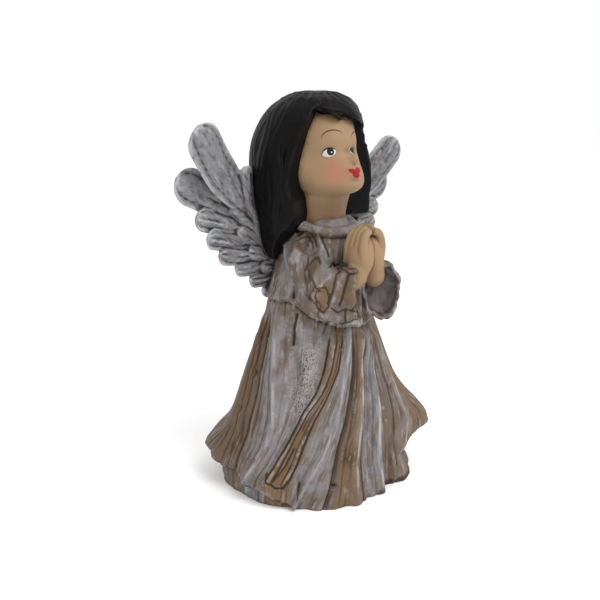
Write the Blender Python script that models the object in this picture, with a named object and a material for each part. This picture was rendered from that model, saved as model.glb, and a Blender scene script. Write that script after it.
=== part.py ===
# A small cast-resin angel: a girl in a long robe, looking up, with folded hands and two spread wings.
# Metres, +Z up. The figure faces -Y, +X is its own left side, and it stands on the plane z = 0.
# It is one casting, so it is one closed solid.
import math

import bpy
import bmesh
import numpy as np
from mathutils import Matrix, Vector

HEIGHT = 0.150  # from the table to the crown of the hair
SHARE = HEIGHT / 150.0  # pose, proportions and carving are written in 150ths of the height

VOXEL = 0.85 * SHARE  # grid on which the overlapping forms are fused
TRIANGLES = 9400  # faces left on the fused solid
FOOT_BELOW = 3.0  # how far the skirt is drawn below the table before it is cut flat

RESIN = (0.42, 0.37, 0.35, 1.0)


# helpers
def smoothstep(low, high, value):
    share = np.clip((value - low) / (high - low), 0.0, 1.0)
    return share * share * (3.0 - 2.0 * share)


def bell(value, centre, width):
    return np.exp(-(((value - centre) / width) ** 2))


def angle_gap(angle, centre):
    return (angle - centre + 180.0) % 360.0 - 180.0


def table(value, pairs):
    return np.interp(value, [p[0] for p in pairs], [p[1] for p in pairs])


def curve_through(points, count):
    """Catmull-Rom curve through the points, at count even parameter steps."""
    p = np.array(points, float)
    p = np.vstack([2 * p[0] - p[1], p, 2 * p[-1] - p[-2]])
    at = np.linspace(0, len(p) - 3 - 1e-9, count)
    k = at.astype(int)
    t = (at - k)[:, None]
    a, b, c, d = p[k], p[k + 1], p[k + 2], p[k + 3]
    return 0.5 * (2 * b + (c - a) * t + (2 * a - 5 * b + 4 * c - d) * t**2 + (3 * b - a - 3 * c + d) * t**3)


FORMS = []  # closed bodies, each (points, faces), fused at the end


def keep(points, faces):
    FORMS.append((np.asarray(points, float), faces))


def stack_body(rows):
    """Closed body from equal rings, one above the other."""
    rows = np.asarray(rows, float)
    levels, count, _ = rows.shape
    points = np.vstack([rows.reshape(-1, 3), rows[0].mean(axis=0), rows[-1].mean(axis=0)])
    faces = []
    for i in range(levels - 1):
        for j in range(count):
            a, b = i * count + j, i * count + (j + 1) % count
            faces.append((a, b, b + count, a + count))
    last = levels * count
    for j in range(count):
        k = (j + 1) % count
        faces.append((last, k, j))
        faces.append((last + 1, (levels - 1) * count + j, (levels - 1) * count + k))
    return points, faces


def strand(points, wide, thick, outward, levels=16, sides=10, hollow=0.0):
    """Body along a curve: half-widths and half-thicknesses along it, thickness towards `outward`."""
    path = curve_through(points, levels)
    along = np.gradient(path, axis=0)
    along /= np.linalg.norm(along, axis=1)[:, None]
    outward = np.asarray(outward, float)
    if outward.ndim == 1:
        outward = np.repeat(outward[None], levels, axis=0)
    else:
        outward = curve_through(outward, levels)
    across = np.cross(along, outward)
    across /= np.linalg.norm(across, axis=1)[:, None]
    up = np.cross(across, along)
    t = np.linspace(0, 1, levels)
    wide = np.interp(t, np.linspace(0, 1, len(wide)), wide)
    thick = np.interp(t, np.linspace(0, 1, len(thick)), thick)
    turn = np.linspace(0, 2 * math.pi, sides, endpoint=False)
    across_part = np.cos(turn)[None, :, None] * across[:, None, :] * wide[:, None, None]
    rise = np.sin(turn)[None, :] * thick[:, None]
    rise = rise - hollow * thick[:, None] * (1 - np.abs(np.cos(turn)))[None, :]
    keep(*stack_body(path[:, None, :] + across_part + rise[:, :, None] * up[:, None, :]))


def ball(centre, radii, tilt=(0.0, 0.0, 0.0), levels=12, sides=18):
    polar = np.linspace(0.02, math.pi - 0.02, levels)
    turn = np.linspace(0, 2 * math.pi, sides, endpoint=False)
    rows = np.stack([
        np.sin(polar)[:, None] * np.cos(turn)[None, :] * radii[0],
        np.sin(polar)[:, None] * np.sin(turn)[None, :] * radii[1],
        -np.cos(polar)[:, None] * np.ones_like(turn)[None, :] * radii[2],
    ], axis=2)
    turned = Matrix.Rotation(math.radians(tilt[2]), 3, "Z") @ Matrix.Rotation(math.radians(tilt[1]), 3, "Y") \
        @ Matrix.Rotation(math.radians(tilt[0]), 3, "X")
    keep(*stack_body(rows @ np.array(turned).T + np.asarray(centre, float)))


# robe
# the skirt's outline on the table, as (angle round the axis from the front, radius)
GROUND = [(-180, 34), (-155, 36), (-130, 37.8), (-107, 35.9), (-84, 33.3), (-56, 30.8), (-38, 31.6), (-24, 30.6),
          (6, 29), (32, 32.2), (48, 38.6), (70, 38.6), (95, 35), (120, 36.5), (150, 35), (180, 34)]
SPREAD = [(-5, 1.0), (0, 1.0), (12, 0.99), (20, 0.91), (30, 0.75), (40, 0.53), (52, 0.26), (64, 0.0)]
BODY_SIDE = [(64, 21.5), (70, 20.0), (78, 19.0), (86, 17.6), (92, 16.4), (97, 14.2), (101, 11.0), (105, 8.0)]
BODY_FRONT = [(64, 19.5), (70, 18.0), (78, 16.5), (86, 14.6), (92, 12.8), (97, 11.6), (101, 10.2), (105, 8.0)]
BODY_BACK = [(64, 20.0), (70, 19.0), (78, 18.0), (86, 15.8), (92, 13.6), (97, 11.0), (101, 9.2), (105, 8.0)]
BODY_SHIFT = [(0, 0.0), (75, 0.0), (90, -1.2), (105, -2.8)]
# the overskirt's hem: height above the table round the axis, negative where it runs out on the table
HEM = [(-180, 12), (-150, 15), (-133, 14), (-107, 9), (-84, 6), (-62, 2), (-48, -4), (24, -4), (28, 2), (33, 12),
       (40, 15), (48, 16.4), (56, 17.8), (72, 18.5), (100, 15), (140, 10), (180, 12)]
# the waist seam round the axis
SEAM = [(-180, 72), (-105, 75), (-75, 76.2), (-64, 74.5), (-52, 71), (-34, 68.6), (-20, 66.4), (22, 64.8), (60, 66),
        (110, 70), (180, 72)]
# folds: ((height, angle) pairs), half-width, height above the cloth
FOLDS = [
    ([(64, -25), (62.5, -26), (52, -33), (44, -41), (37, -52), (28, -61), (19, -69), (10.5, -75), (3, -80)], 1.7, 1.7),
    ([(64, -19), (62, -20), (52, -26), (42, -38), (34, -48), (25, -55), (18, -59), (11, -65), (3, -70)], 1.6, 1.5),
    ([(73.6, -87), (64.6, -88), (54, -84), (44, -80), (32, -76), (22, -80), (10, -90), (2, -95)], 2.4, 1.6),
    ([(66, -68), (53, -67), (36, -62), (22, -66)], 2.0, -1.3),
    ([(63.5, -8), (53, -17), (42, -24), (32, -31), (22, -39), (15, -46), (7, -53), (0, -58)], 2.2, 1.6),
    ([(64.6, 2), (53, -3), (41, -12), (31, -20), (23, -27), (7, -34), (0, -38)], 2.2, -1.8),
    ([(62, 13), (50, 0), (37, -7), (27, -13), (17, -17), (6, -16), (-3, -15)], 2.6, 2.0),
    ([(62, 9), (50, 6), (30, 0), (12, -2), (-3, -2)], 2.0, -1.2),
    ([(58, 19), (49, 14), (34, 13), (24, 9), (14, 7), (6, 10), (-3, 12)], 2.4, 1.7),
    ([(58, 27), (40, 26), (20, 22), (-3, 22)], 2.2, -1.6),
    ([(60, 38), (40, 40), (24, 40), (12, 36), (-3, 34)], 2.8, 1.5),
    ([(70, -108), (56, -103), (40, -99), (24, -100), (8, -104)], 2.4, -1.3),
    ([(68, -120), (52, -118), (36, -114), (18, -116), (4, -118)], 2.8, 1.5),
]
FOLDS += [([(66, a), (46, a + 3), (26, a - 2), (4, a + 2), (-3, a + 2)], 3.2, 1.6)
          for a in (62, 88, 112, 138, 163, 188, 213)]
FOLDS += [([(64, a), (40, a + 2), (10, a - 1), (-3, a)], 2.8, -1.4) for a in (50, 75, 100, 125, 151, 176, 201)]


def robe_radius(angle, z):
    radians = np.radians(angle)
    side, front, back = table(z, BODY_SIDE), table(z, BODY_FRONT), table(z, BODY_BACK)
    deep = np.where(np.abs(angle_gap(angle, 0.0)) < 90.0, front, back)
    radius = 1.0 / np.sqrt((np.sin(radians) / side) ** 2 + (np.cos(radians) / deep) ** 2)
    ground = np.interp(angle_gap(angle, 0.0), [g[0] for g in GROUND], [g[1] for g in GROUND])
    ground = ground + 0.7 * np.cos(np.radians(angle * 9.0)) * (1.0 - smoothstep(6.0, 24.0, z))
    radius = radius + (ground - radius) * table(z, SPREAD) * (z < 64.0)
    # overskirt: thicker cloth above its hem, thrown out at the two rear corners
    hem = table(angle_gap(angle, 0.0), HEM)
    over = smoothstep(-0.6, 0.9, z - hem)
    cloth = 0.3 + 2.0 * (hem > 0.0) * (1.0 - smoothstep(3.0, 16.0, z - hem))
    throw = 6.0 * bell(angle_gap(angle, -135.0), 0.0, 17.0) * (1.0 - smoothstep(0.0, 9.0, z - hem))
    throw = throw + 6.0 * bell(angle_gap(angle, 62.0), 0.0, 15.0) * (1.0 - smoothstep(4.0, 24.0, z - hem))
    under = 6.5 * bell(angle_gap(angle, 60.0), 0.0, 32.0) * smoothstep(0.0, 14.0, z)
    tuck = 3.4 * bell(angle_gap(angle, 39.0), 0.0, 11.0) * (1.0 - smoothstep(14.0, 30.0, z))
    radius = radius + over * (cloth + throw - tuck) - (1.0 - over) * under
    for path, half, height in FOLDS:
        path = sorted(path)
        centre = np.interp(z, [p[0] for p in path], [p[1] for p in path])
        reach = 1.0 - smoothstep(path[-1][0] - 3.0, path[-1][0] + 3.0, z)
        if path[0][0] >= 0.0:
            reach = reach * smoothstep(path[0][0] - 3.0, path[0][0] + 2.0, z)
        off = radius * np.radians(angle_gap(angle, centre))
        radius = radius + height * reach * bell(off, 0.0, half)
    # the bodice is drawn over the upper arms
    for s in (-1, 1):
        radius = radius + 2.6 * bell(angle_gap(angle, 62.0 * s), 0.0, 36.0) * bell(z, 84.0, 11.0)
    # the waist seam
    seam = table(angle_gap(angle, 0.0), SEAM)
    return radius + 0.9 * bell(z, seam + 1.6, 1.2) - 0.7 * bell(z, seam - 0.6, 0.9)


def robe_rows(levels=96, sides=180):
    z = np.linspace(-FOOT_BELOW, 105.0, levels)[:, None]
    angle = np.linspace(-180.0, 180.0, sides, endpoint=False)[None, :]
    radius = robe_radius(angle + 0 * z, z + 0 * angle)
    shift = table(z, BODY_SHIFT)
    turn = np.radians(angle)
    return np.stack([radius * np.sin(turn), shift - radius * np.cos(turn), z + 0 * angle], axis=2)


keep(*stack_body(robe_rows()))


# head
FACE_CENTRE = np.array([0.0, -1.0, 128.0])
FACE_RADIUS = 17.5
NOD = 16.0  # the face looks up by this much
TURN = -3.0  # and is turned by this much to its right
# brushes on the face: azimuth, elevation, spread in degrees across and up, height
BRUSHES = [(-50, -2, 30, 30, -3.9), (51, -3.7, 30.3, 33.5, -5.0), (-31, -41.5, 23, 14.4, 1.8), (33.5, -41.9, 26.9, 14.8, 2.3),
           (6, -49, 19, 14.9, 2.9), (4, -31, 12, 9, 2.2), (2.5, -17, 4.2, 4.8, 2.7), (-3, -7, 13, 6.5, -1.5),
           (0, 45, 40, 24, 0.8), (-26, -6, 10, 7.5, -1.1), (16, -6, 10, 7.5, -1.7)]
EYES = [(-27.5, -8.0), (13.0, -9.5)]


def face_radius(azimuth, elevation):
    radius = FACE_RADIUS + 0.0 * azimuth
    for a, e, wide, tall, height in BRUSHES:
        across = (azimuth - a) * np.cos(np.radians(elevation))
        radius = radius + height * np.exp(-((across / wide) ** 2) - ((elevation - e) / tall) ** 2)
    return radius


def on_face(azimuth, elevation, lift=0.0):
    radius = face_radius(azimuth, elevation) + lift
    a, e = np.radians(azimuth + TURN), np.radians(elevation)
    x, y, z = radius * np.sin(a) * np.cos(e), -radius * np.cos(a) * np.cos(e), radius * np.sin(e)
    nod = math.radians(NOD)
    nodded = np.stack([x, y * math.cos(nod) + z * math.sin(nod), -y * math.sin(nod) + z * math.cos(nod)], axis=-1)
    return nodded + FACE_CENTRE


elevation, azimuth = np.meshgrid(np.linspace(-89.0, 89.0, 60), np.linspace(-180.0, 180.0, 72, endpoint=False),
                                 indexing="ij")
keep(*stack_body(on_face(azimuth, elevation)))
for azimuth, elevation in EYES:
    ball(on_face(np.float64(azimuth), np.float64(elevation), -2.6), (3.4, 3.3, 3.1))
strand([(0, 0.5, 96), (0, -2.4, 104), (0, -2.6, 112), (0, -1.5, 120)], (8.4, 7.8, 7.4, 8.5), (8.4, 7.6, 7.2, 8.0),
       (0, 1, 0), 10, 20)
strand([(0, 1, 97), (0, 1, 104), (0, 1, 108), (0, 0.8, 112), (0, 0.6, 116), (0, 0.4, 121)], (12, 11.5, 12, 12.5, 12.7, 12.7),
       (12, 11.5, 12, 12.5, 12.7, 12.7), (0, 1, 0), 14, 24)
for side in (-1, 1):
    collar = [(side * 11.4 * math.sin(t), -2.6 - 10.8 * math.cos(t), 103.3 - 2.6 * math.cos(t))
              for t in np.linspace(-0.15, 3.3, 9)]
    strand(collar, (2.3, 2.3), (1.9, 1.9), (0, 0, 1), 20, 10)


# hair
HAIR_OUT = [(90, 17.0), (94, 19.4), (98, 20.6), (104, 21.0), (112, 21.6), (119, 22.8), (128, 22.6), (135, 21.0),
            (140, 18.6), (145, 15.0), (148, 11.4), (150, 6.6), (150.6, 1.0)]
HAIR_RIGHT = [(90, -100), (92, -95), (96, -87), (101, -76), (104, -66), (107, -61), (113, -61), (117, -66), (122, -66),
              (130, -58), (137, -46), (141, -40), (144.5, -37), (146, -28)]
HAIR_LEFT = [(90, 104), (98, 97), (102, 84), (105, 66), (110, 60), (116, 58), (122, 56), (130, 50), (136, 44), (139, 34),
             (143, 20)]
# how far the hair lies in on the figure's left, by height
HAIR_SLIM = [(104, 0.0), (108, 0.8), (111, 1.5), (115, 2.4), (118, 3.0), (121, 2.0), (124, 1.0), (128, 1.9), (130, 2.7),
             (132, 4.6), (135, 4.2), (136.5, 4.6), (138, 3.3), (141, 2.5), (143.5, 1.4), (146, 0.4), (150, 0.0)]
# lower edge of the fringe: angle, height
FRINGE = [(-180, 141), (-60, 145), (-44, 144.6), (-30, 143.2), (-10, 142.0), (10, 141.2), (30, 139.5), (60, 137), (180, 137)]


def hair_radius(angle, z):
    outer = table(z, HAIR_OUT)
    behind = smoothstep(100.0, 180.0, np.abs(angle)) * (1.0 - smoothstep(120.0, 140.0, z))
    outer = outer - 3.0 * behind * smoothstep(88.0, 110.0, z)
    sides = smoothstep(75.0, 95.0, np.abs(angle)) * (1.0 - smoothstep(138.0, 146.0, z))
    outer = outer + 0.8 * smoothstep(100.0, 108.0, z) * sides
    outer = outer - table(z, HAIR_SLIM) * bell(angle, 52.0, 38.0)
    inner = np.minimum(outer, 9.0)
    right, left = table(z, HAIR_RIGHT), table(z, HAIR_LEFT)
    # thinner where it leaves the face
    near = 1.0 - smoothstep(0.0, 26.0, np.maximum(right - angle, angle - left))
    thin = table(z, [(118, 0.0), (124, 0.5), (130, 1.0), (139, 0.9), (142, 0.0)])
    outer = outer - near * thin * np.maximum(outer - 18.0, 0.0)
    share = np.maximum(smoothstep(-3.0, 4.0, right - angle), smoothstep(-3.0, 4.0, angle - left))
    share = np.maximum(share, smoothstep(-1.2, 2.0, z - table(angle, FRINGE)))
    return inner + (outer - inner) * share


def on_hair(angle, z, lift=0.0):
    radius = hair_radius(angle, z) + lift
    turn = np.radians(angle)
    return np.stack([radius * np.sin(turn), 1.0 - radius * np.cos(turn), z + 0 * radius], axis=-1)


z, angle = np.meshgrid(np.array(list(np.linspace(90, 140, 30)) + list(np.linspace(141, 150.5, 14))),
                       np.linspace(-180, 180, 90, endpoint=False), indexing="ij")
keep(*stack_body(on_hair(angle, z)))


def lock(places, half, thick, lift=0.2):
    """One lock lying on the hair: (angle, height) places from the crown to its end."""
    places = np.array(places, float)
    path = on_hair(places[:, 0], places[:, 1], lift)
    out = path - np.array([0.0, 1.0, 122.0])
    out[:, 2] *= 0.55
    strand(path, (0.6 * half, half, half, 0.85 * half, 0.25 * half), (thick * 0.7, thick, thick, thick, thick * 0.3),
           out, 22, 10)


LOCK_TOP = 149.0
for i, a in enumerate(np.linspace(-180, -84, 9)):
    sway = (3.0, -4.0, 2.0)[i % 3]
    end = 92.5 + (0.0, 2.5, 1.0)[i % 3] + (3.0 if a < -150 else 0.0)
    lock([(a, LOCK_TOP), (a + sway, 143), (a - sway, 132), (a + sway, 119), (a - sway, 106), (a, end)], 3.4, 1.5)
for i, a in enumerate(np.linspace(84, 168, 8)):
    sway = (-3.0, 4.0, -2.0)[i % 3]
    end = 93.0 + (0.0, 2.5, 1.0)[i % 3] + (3.0 if a > 150 else 0.0)
    lock([(a, LOCK_TOP), (a + sway, 143), (a - sway, 132), (a + sway, 119), (a - sway, 106), (a, end)], 3.4, 1.5)
# locks beside the face
lock([(-70, 148), (-60, 142), (-69, 133), (-75, 121), (-70, 111), (-80, 102)], 2.6, 1.2)
lock([(-84, 148), (-76, 142), (-84, 133), (-88, 121), (-86, 108), (-95, 92)], 3.0, 1.4)
lock([(40, 148), (54, 141), (58, 132), (64, 121), (68, 112), (66, 105)], 2.4, 1.0)
lock([(60, 148), (76, 141), (80, 132), (84, 120), (84, 110), (88, 100)], 3.0, 1.6)
# the fringe, swept from the parting to the figure's left
for start, mid, end, low in ((-46, -34, -8, 142.0), (-42, -14, 18, 141.2), (-34, 8, 44, 139.0), (-20, 26, 62, 136.5)):
    lock([(start, 148.2), (0.5 * (start + mid), 146), (mid, 143.2), (0.5 * (mid + end), 141.3), (end, low)], 2.4, 1.0)


# wings
LEFT_FOLD = 0.135  # the left wing's height above the elbow is less by this share

# right wing's long feathers: root, middle and tip, half-width, half-thickness
FEATHERS = [
    ((-24.0, 12.2, 108.6), (-38.6, 8.6, 123.9), (-49.6, 5.3, 138.9), 7.1, 1.9),
    ((-24.5, 12.8, 105.5), (-37.8, 13.8, 113.6), (-53.0, 14.2, 121.2), 6.8, 1.8),
    ((-24.0, 12.8, 102.0), (-35.3, 13.0, 104.4), (-46.5, 12.6, 107.6), 4.3, 1.8),
    ((-21.6, 12.6, 97.5), (-33.5, 12.0, 98.2), (-43.1, 11.0, 100.2), 3.9, 1.7),
    ((-18.5, 12.5, 92.5), (-29.3, 12.0, 92.2), (-37.8, 11.5, 93.5), 3.8, 1.7),
    ((-14.4, 12.4, 88.0), (-22.9, 12.2, 86.9), (-30.4, 12.0, 87.5), 3.4, 1.6),
    ((-10.4, 12.2, 83.0), (-17.2, 12.2, 81.7), (-23.7, 12.2, 81.8), 3.2, 1.6),
    ((-6.9, 12.0, 78.0), (-12.1, 12.0, 76.7), (-18.0, 12.0, 76.9), 2.8, 1.6),
]
# short feathers lying over their roots
COVERTS = [
    ((-20.5, 11.0, 103.0), (-24.8, 10.0, 114.5), (-26.4, 9.2, 124.6), 3.8, 1.9),
    ((-17.0, 10.6, 99.0), (-19.6, 10.0, 111.0), (-20.0, 9.4, 121.4), 3.5, 1.9),
    ((-13.5, 10.4, 94.0), (-15.2, 9.8, 105.0), (-14.6, 9.2, 114.0), 3.4, 1.9),
    ((-19.0, 11.4, 100.0), (-26.0, 11.6, 106.0), (-31.5, 11.8, 112.5), 3.4, 1.7),
    ((-16.5, 11.4, 95.5), (-23.5, 11.4, 98.5), (-29.5, 11.2, 101.5), 3.2, 1.7),
    ((-13.5, 11.2, 90.0), (-19.8, 11.0, 92.0), (-25.0, 10.8, 93.6), 3.0, 1.7),
    ((-10.0, 11.0, 84.5), (-14.8, 11.0, 86.2), (-19.2, 11.0, 87.2), 2.8, 1.7),
]
WING_ARM = [(-6.0, 11.4, 72.5), (-8.6, 11.6, 80.5), (-12.6, 11.8, 88.5), (-17.6, 12.0, 96.0), (-20.8, 12.0, 104.0),
            (-22.0, 11.6, 112.0)]


def on_wing(point, left):
    """A point of the right wing, or of the left one, which is a little more folded."""
    x, y, z = point
    return (-x, y, z - LEFT_FOLD * max(z - 82.0, 0.0)) if left else (x, y, z)


def feather(places, half, thick, left, levels=18, sides=8):
    path = [on_wing(place, left) for place in places]
    length = sum(math.dist(path[i], path[i + 1]) for i in (0, 1))
    t = np.linspace(0.0, 1.0, levels)
    from_tip = (1.0 - t) * length
    blunt = np.sqrt(np.clip(1.0 - (1.0 - np.minimum(from_tip / (0.95 * half), 1.0)) ** 2, 0.02, 1.0))
    wide = half * blunt * (0.62 + 0.38 * smoothstep(0.0, 0.45, t))
    deep = thick * (0.35 + 0.65 * blunt) * (1.0 - 0.3 * t)
    strand(path, wide, deep, (0.0, 1.0, 0.0), levels, sides)


for left in (False, True):
    strand([on_wing(place, left) for place in WING_ARM], (3.0, 3.4, 4.0, 4.6, 4.8, 3.2), (2.6, 2.7, 2.7, 2.7, 2.5, 1.8),
           (0, 1, 0), 18, 12)
    for *places, half, thick in FEATHERS + COVERTS:
        feather(places, half, thick, left)


# arms, sleeves and hands
def sleeve(sections, sides=20):
    """Rings given as (centre, half-width, reach up, reach down), square to the way they run."""
    centres = np.array([s[0] for s in sections], float)
    way = np.gradient(centres, axis=0)
    way /= np.linalg.norm(way, axis=1)[:, None]
    way[-1] = way[-2]
    across = np.cross(way, (0, 0, 1.0))
    across /= np.linalg.norm(across, axis=1)[:, None]
    up = np.cross(across, way)
    turn = np.linspace(0, 2 * math.pi, sides, endpoint=False)
    rows = []
    for c, w, s, u in zip(centres, way, across, up):
        i = len(rows)
        half, high, low = sections[i][1:4]
        reach = np.where(np.sin(turn) > 0, high, low) * np.sin(turn)
        rows.append(c + np.cos(turn)[:, None] * s * half + reach[:, None] * u)
    return rows


def recessed(rows, depth, rim):
    """Close the last ring with a rim and a hollow `depth` deep, as a sleeve's mouth has."""
    last = rows[-1]
    centre = last.mean(axis=0)
    way = centre - rows[-2].mean(axis=0)
    way /= np.linalg.norm(way)
    inner = centre + (last - centre) * (1.0 - rim)
    return rows + [inner, inner - way * depth * 0.6, centre + (last - centre) * (1.0 - rim) * 0.7 - way * depth]


for s in (-1, 1):
    rows = sleeve([((s * 9.5, -1.0, 96.5), 5.6, 5.6, 5.6), ((s * 13.0, -5.0, 91.5), 6.2, 6.4, 6.4),
                   ((s * 13.8, -10.2, 85.0), 6.2, 7.2, 8.0), ((s * 13.8, -15.8, 81.6), 6.6, 8.2, 10.0),
                   ((s * 11.2, -20.4, 81.2), 7.0, 8.6, 11.4), ((s * 8.6, -24.3, 81.3), 7.3, 9.0, 12.2),
                   ((s * 6.4, -27.4, 81.5), 7.4, 9.2, 12.8)])
    keep(*stack_body(recessed(rows, 6.0, 0.2)))
    strand([(s * 14, -12, 82), (s * 10.5, -18, 83), (s * 5.6, -24.2, 85), (s * 3.4, -25.2, 90)], (3.9, 3.9, 3.7, 4.0),
           (3.8, 3.8, 3.5, 4.2), (0, 0, 1), 14, 12)
ball((-2.5, -24.6, 94.0), (4.3, 5.6, 8.4), (-6, 6, 0))
ball((2.6, -24.9, 93.0), (4.1, 5.4, 8.4), (-6, -6, 0))
for s in (-1, 1):
    for i in range(4):
        y, top = -20.4 - 2.7 * i, 104.4 - 1.1 * abs(i - 1.4)
        near = -22.4 - 1.75 * i  # the fingers draw together towards their tips
        strand([(s * 4.3, y + 0.5, 91.0), (s * 4.7, 0.7 * y + 0.3 * near, 97.4), (s * 3.3, 0.3 * y + 0.7 * near, 101.6),
                (s * 0.8, near, top)], (1.5, 1.6, 1.55, 1.3), (1.4, 1.5, 1.5, 1.2), (0, 1, 0), 10, 8)
    strand([(s * 3.2, -21.0, 90.0), (s * 2.8, -19.2, 95.0), (s * 1.0, -19.2, 99.5)], (1.8, 1.7, 1.2), (1.8, 1.7, 1.2),
           (0, 1, 0), 8, 8)


# one casting
points, faces, start = [], [], 0
for body_points, body_faces in FORMS:
    points.append(body_points)
    faces += [tuple(start + k for k in face) for face in body_faces]
    start += len(body_points)

for old in list(bpy.data.objects):
    bpy.data.objects.remove(old, do_unlink=True)

rough = bpy.data.meshes.new("angel_forms")
rough.from_pydata((np.vstack(points) * SHARE).tolist(), [], faces)
rough.update()
cast = bpy.data.objects.new("angel_forms", rough)
bpy.context.collection.objects.link(cast)

fuse = cast.modifiers.new("Fuse", "REMESH")
fuse.mode = "VOXEL"
fuse.voxel_size = VOXEL
ease = cast.modifiers.new("Ease", "SMOOTH")
ease.factor = 0.35
ease.iterations = 1

bpy.context.view_layer.update()
fused = bpy.data.meshes.new_from_object(cast.evaluated_get(bpy.context.evaluated_depsgraph_get()))
cast.modifiers.clear()
cast.data = fused
thin = cast.modifiers.new("Thin", "DECIMATE")
thin.ratio = TRIANGLES / (2.0 * len(fused.polygons))
thin.use_collapse_triangulate = True
bpy.context.view_layer.update()
body = bmesh.new()
body.from_mesh(bpy.data.meshes.new_from_object(cast.evaluated_get(bpy.context.evaluated_depsgraph_get())))
bpy.data.objects.remove(cast, do_unlink=True)

# the underside is cut flat on the table and closed
everything = body.verts[:] + body.edges[:] + body.faces[:]
bmesh.ops.bisect_plane(body, geom=everything, plane_co=(0, 0, 0), plane_no=(0, 0, 1), clear_inner=True)
edge = [e for e in body.edges if e.is_boundary]
bmesh.ops.contextual_create(body, geom=edge)
bmesh.ops.dissolve_degenerate(body, dist=1e-6, edges=body.edges[:])
bmesh.ops.triangulate(body, faces=body.faces[:])
bmesh.ops.recalc_face_normals(body, faces=body.faces[:])

mesh = bpy.data.meshes.new("angel_figure")
body.to_mesh(mesh)
print("angel_figure: %d triangles, open edges %d" % (len(mesh.polygons), sum(1 for e in body.edges if e.is_boundary)))
body.free()
figure = bpy.data.objects.new("angel_figure", mesh)
bpy.context.collection.objects.link(figure)

paint = bpy.data.materials.new("painted_resin")
paint.use_nodes = True
shader = paint.node_tree.nodes["Principled BSDF"]
shader.inputs["Base Color"].default_value = RESIN
shader.inputs["Roughness"].default_value = 0.6
mesh.materials.append(paint)
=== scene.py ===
import math
from functools import partial

import bmesh
import bpy
import numpy as np
from mathutils import Matrix, Vector
from mathutils.bvhtree import BVHTree
from mathutils.kdtree import KDTree


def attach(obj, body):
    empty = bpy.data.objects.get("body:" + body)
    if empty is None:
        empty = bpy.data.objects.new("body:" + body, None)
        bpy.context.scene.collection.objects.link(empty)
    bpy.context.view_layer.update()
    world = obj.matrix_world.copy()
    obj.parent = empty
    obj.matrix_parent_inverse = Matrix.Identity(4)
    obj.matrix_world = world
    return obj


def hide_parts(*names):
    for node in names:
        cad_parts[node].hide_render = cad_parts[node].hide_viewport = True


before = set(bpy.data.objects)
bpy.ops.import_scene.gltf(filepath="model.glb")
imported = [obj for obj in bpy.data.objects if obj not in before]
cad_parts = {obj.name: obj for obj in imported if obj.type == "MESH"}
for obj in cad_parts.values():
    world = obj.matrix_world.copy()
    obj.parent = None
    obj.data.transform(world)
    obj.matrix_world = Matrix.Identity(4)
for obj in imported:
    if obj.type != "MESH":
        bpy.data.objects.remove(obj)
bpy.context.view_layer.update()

cast = {
    "voxel": 0.34,  # mm, grid on which the overlapping forms are fused
    "triangles": 186000,
    "footBelow": 3.0,  # mm of skirt drawn below the table, then cut flat
    "easeFactor": 0.4,  # strength of the one smoothing after they are fused
    "jawRounds": 45,  # rounds of smoothing where the jaw runs into the neck
    "nearRounds": 8,  # and for the surface that cuts are measured from
    "wideRounds": 50,  # and for the one that folds are measured from
    "paintEdge": 0.7,  # mm over which one zone's paint gives way to the next
}


# small tools for shapes
def smoothStep(low, high, value):
    share = np.clip((value - low) / (high - low), 0, 1)
    return share * share * (3.0 - 2.0 * share)


def within(value, low, lowFull, highFull, high):
    # 1 between the two middle values, falling off to 0 at the outer ones
    return smoothStep(low, lowFull, value) * (1.0 - smoothStep(highFull, high, value))


def bell(value, centre, width):
    return np.exp(-(((value - centre) / width) ** 2))


def angleGap(angle, centre):
    return (angle - centre + 180.0) % 360.0 - 180.0


def readTable(value, pairs):
    return np.interp(value, [p[0] for p in pairs], [p[1] for p in pairs])


def curveThrough(points, count):
    # a smooth curve through the points
    p = np.array(points, float)
    p = np.vstack([2 * p[0] - p[1], p, 2 * p[-1] - p[-2]])
    at = np.linspace(0, len(p) - 3 - 1e-9, count)
    k = at.astype(int)
    t = (at - k)[:, None]
    a, b, c, d = p[k], p[k + 1], p[k + 2], p[k + 3]
    return 0.5 * (2 * b + (c - a) * t + (2 * a - 5 * b + 4 * c - d) * t**2 + (3 * b - a - 3 * c + d) * t**3)


def grainNoise(u, v, seed, turns=128):
    # smooth value noise that repeats every `turns` cells of u, so it closes round the figure
    cells = np.random.RandomState(seed).rand(turns, 256)
    u, v = np.broadcast_arrays(np.asarray(u, float), np.asarray(v, float))
    i, j = np.floor(u).astype(int), np.floor(v).astype(int)
    fu, fv = u - i, v - j
    fu, fv = fu * fu * (3 - 2 * fu), fv * fv * (3 - 2 * fv)
    i0, i1, j0, j1 = i % turns, (i + 1) % turns, j % 256, (j + 1) % 256
    low = cells[i0, j0] * (1 - fu) + cells[i1, j0] * fu
    high = cells[i0, j1] * (1 - fu) + cells[i1, j1] * fu
    return low * (1 - fv) + high * fv


forms = []  # (points, faces, zone): closed bodies that overlap, fused at the end


def keepForm(points, faces, zone):
    forms.append((np.asarray(points, float), faces, zone))


def stackBody(rows, zone):
    # closed body from equal rings, one above the other
    rows = np.asarray(rows, float)
    levels, count, _ = rows.shape
    points = np.vstack([rows.reshape(-1, 3), rows[0].mean(axis=0), rows[-1].mean(axis=0)])
    i, j = np.meshgrid(np.arange(levels - 1), np.arange(count), indexing="ij")
    a, b = i * count + j, i * count + (j + 1) % count
    faces = np.stack([a, b, b + count, a + count], axis=-1).reshape(-1, 4).tolist()
    last, top = levels * count, (levels - 1) * count
    for k in range(count):
        n = (k + 1) % count
        faces.append([last, n, k])
        faces.append([last + 1, top + k, top + n])
    keepForm(points, faces, zone)


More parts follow.
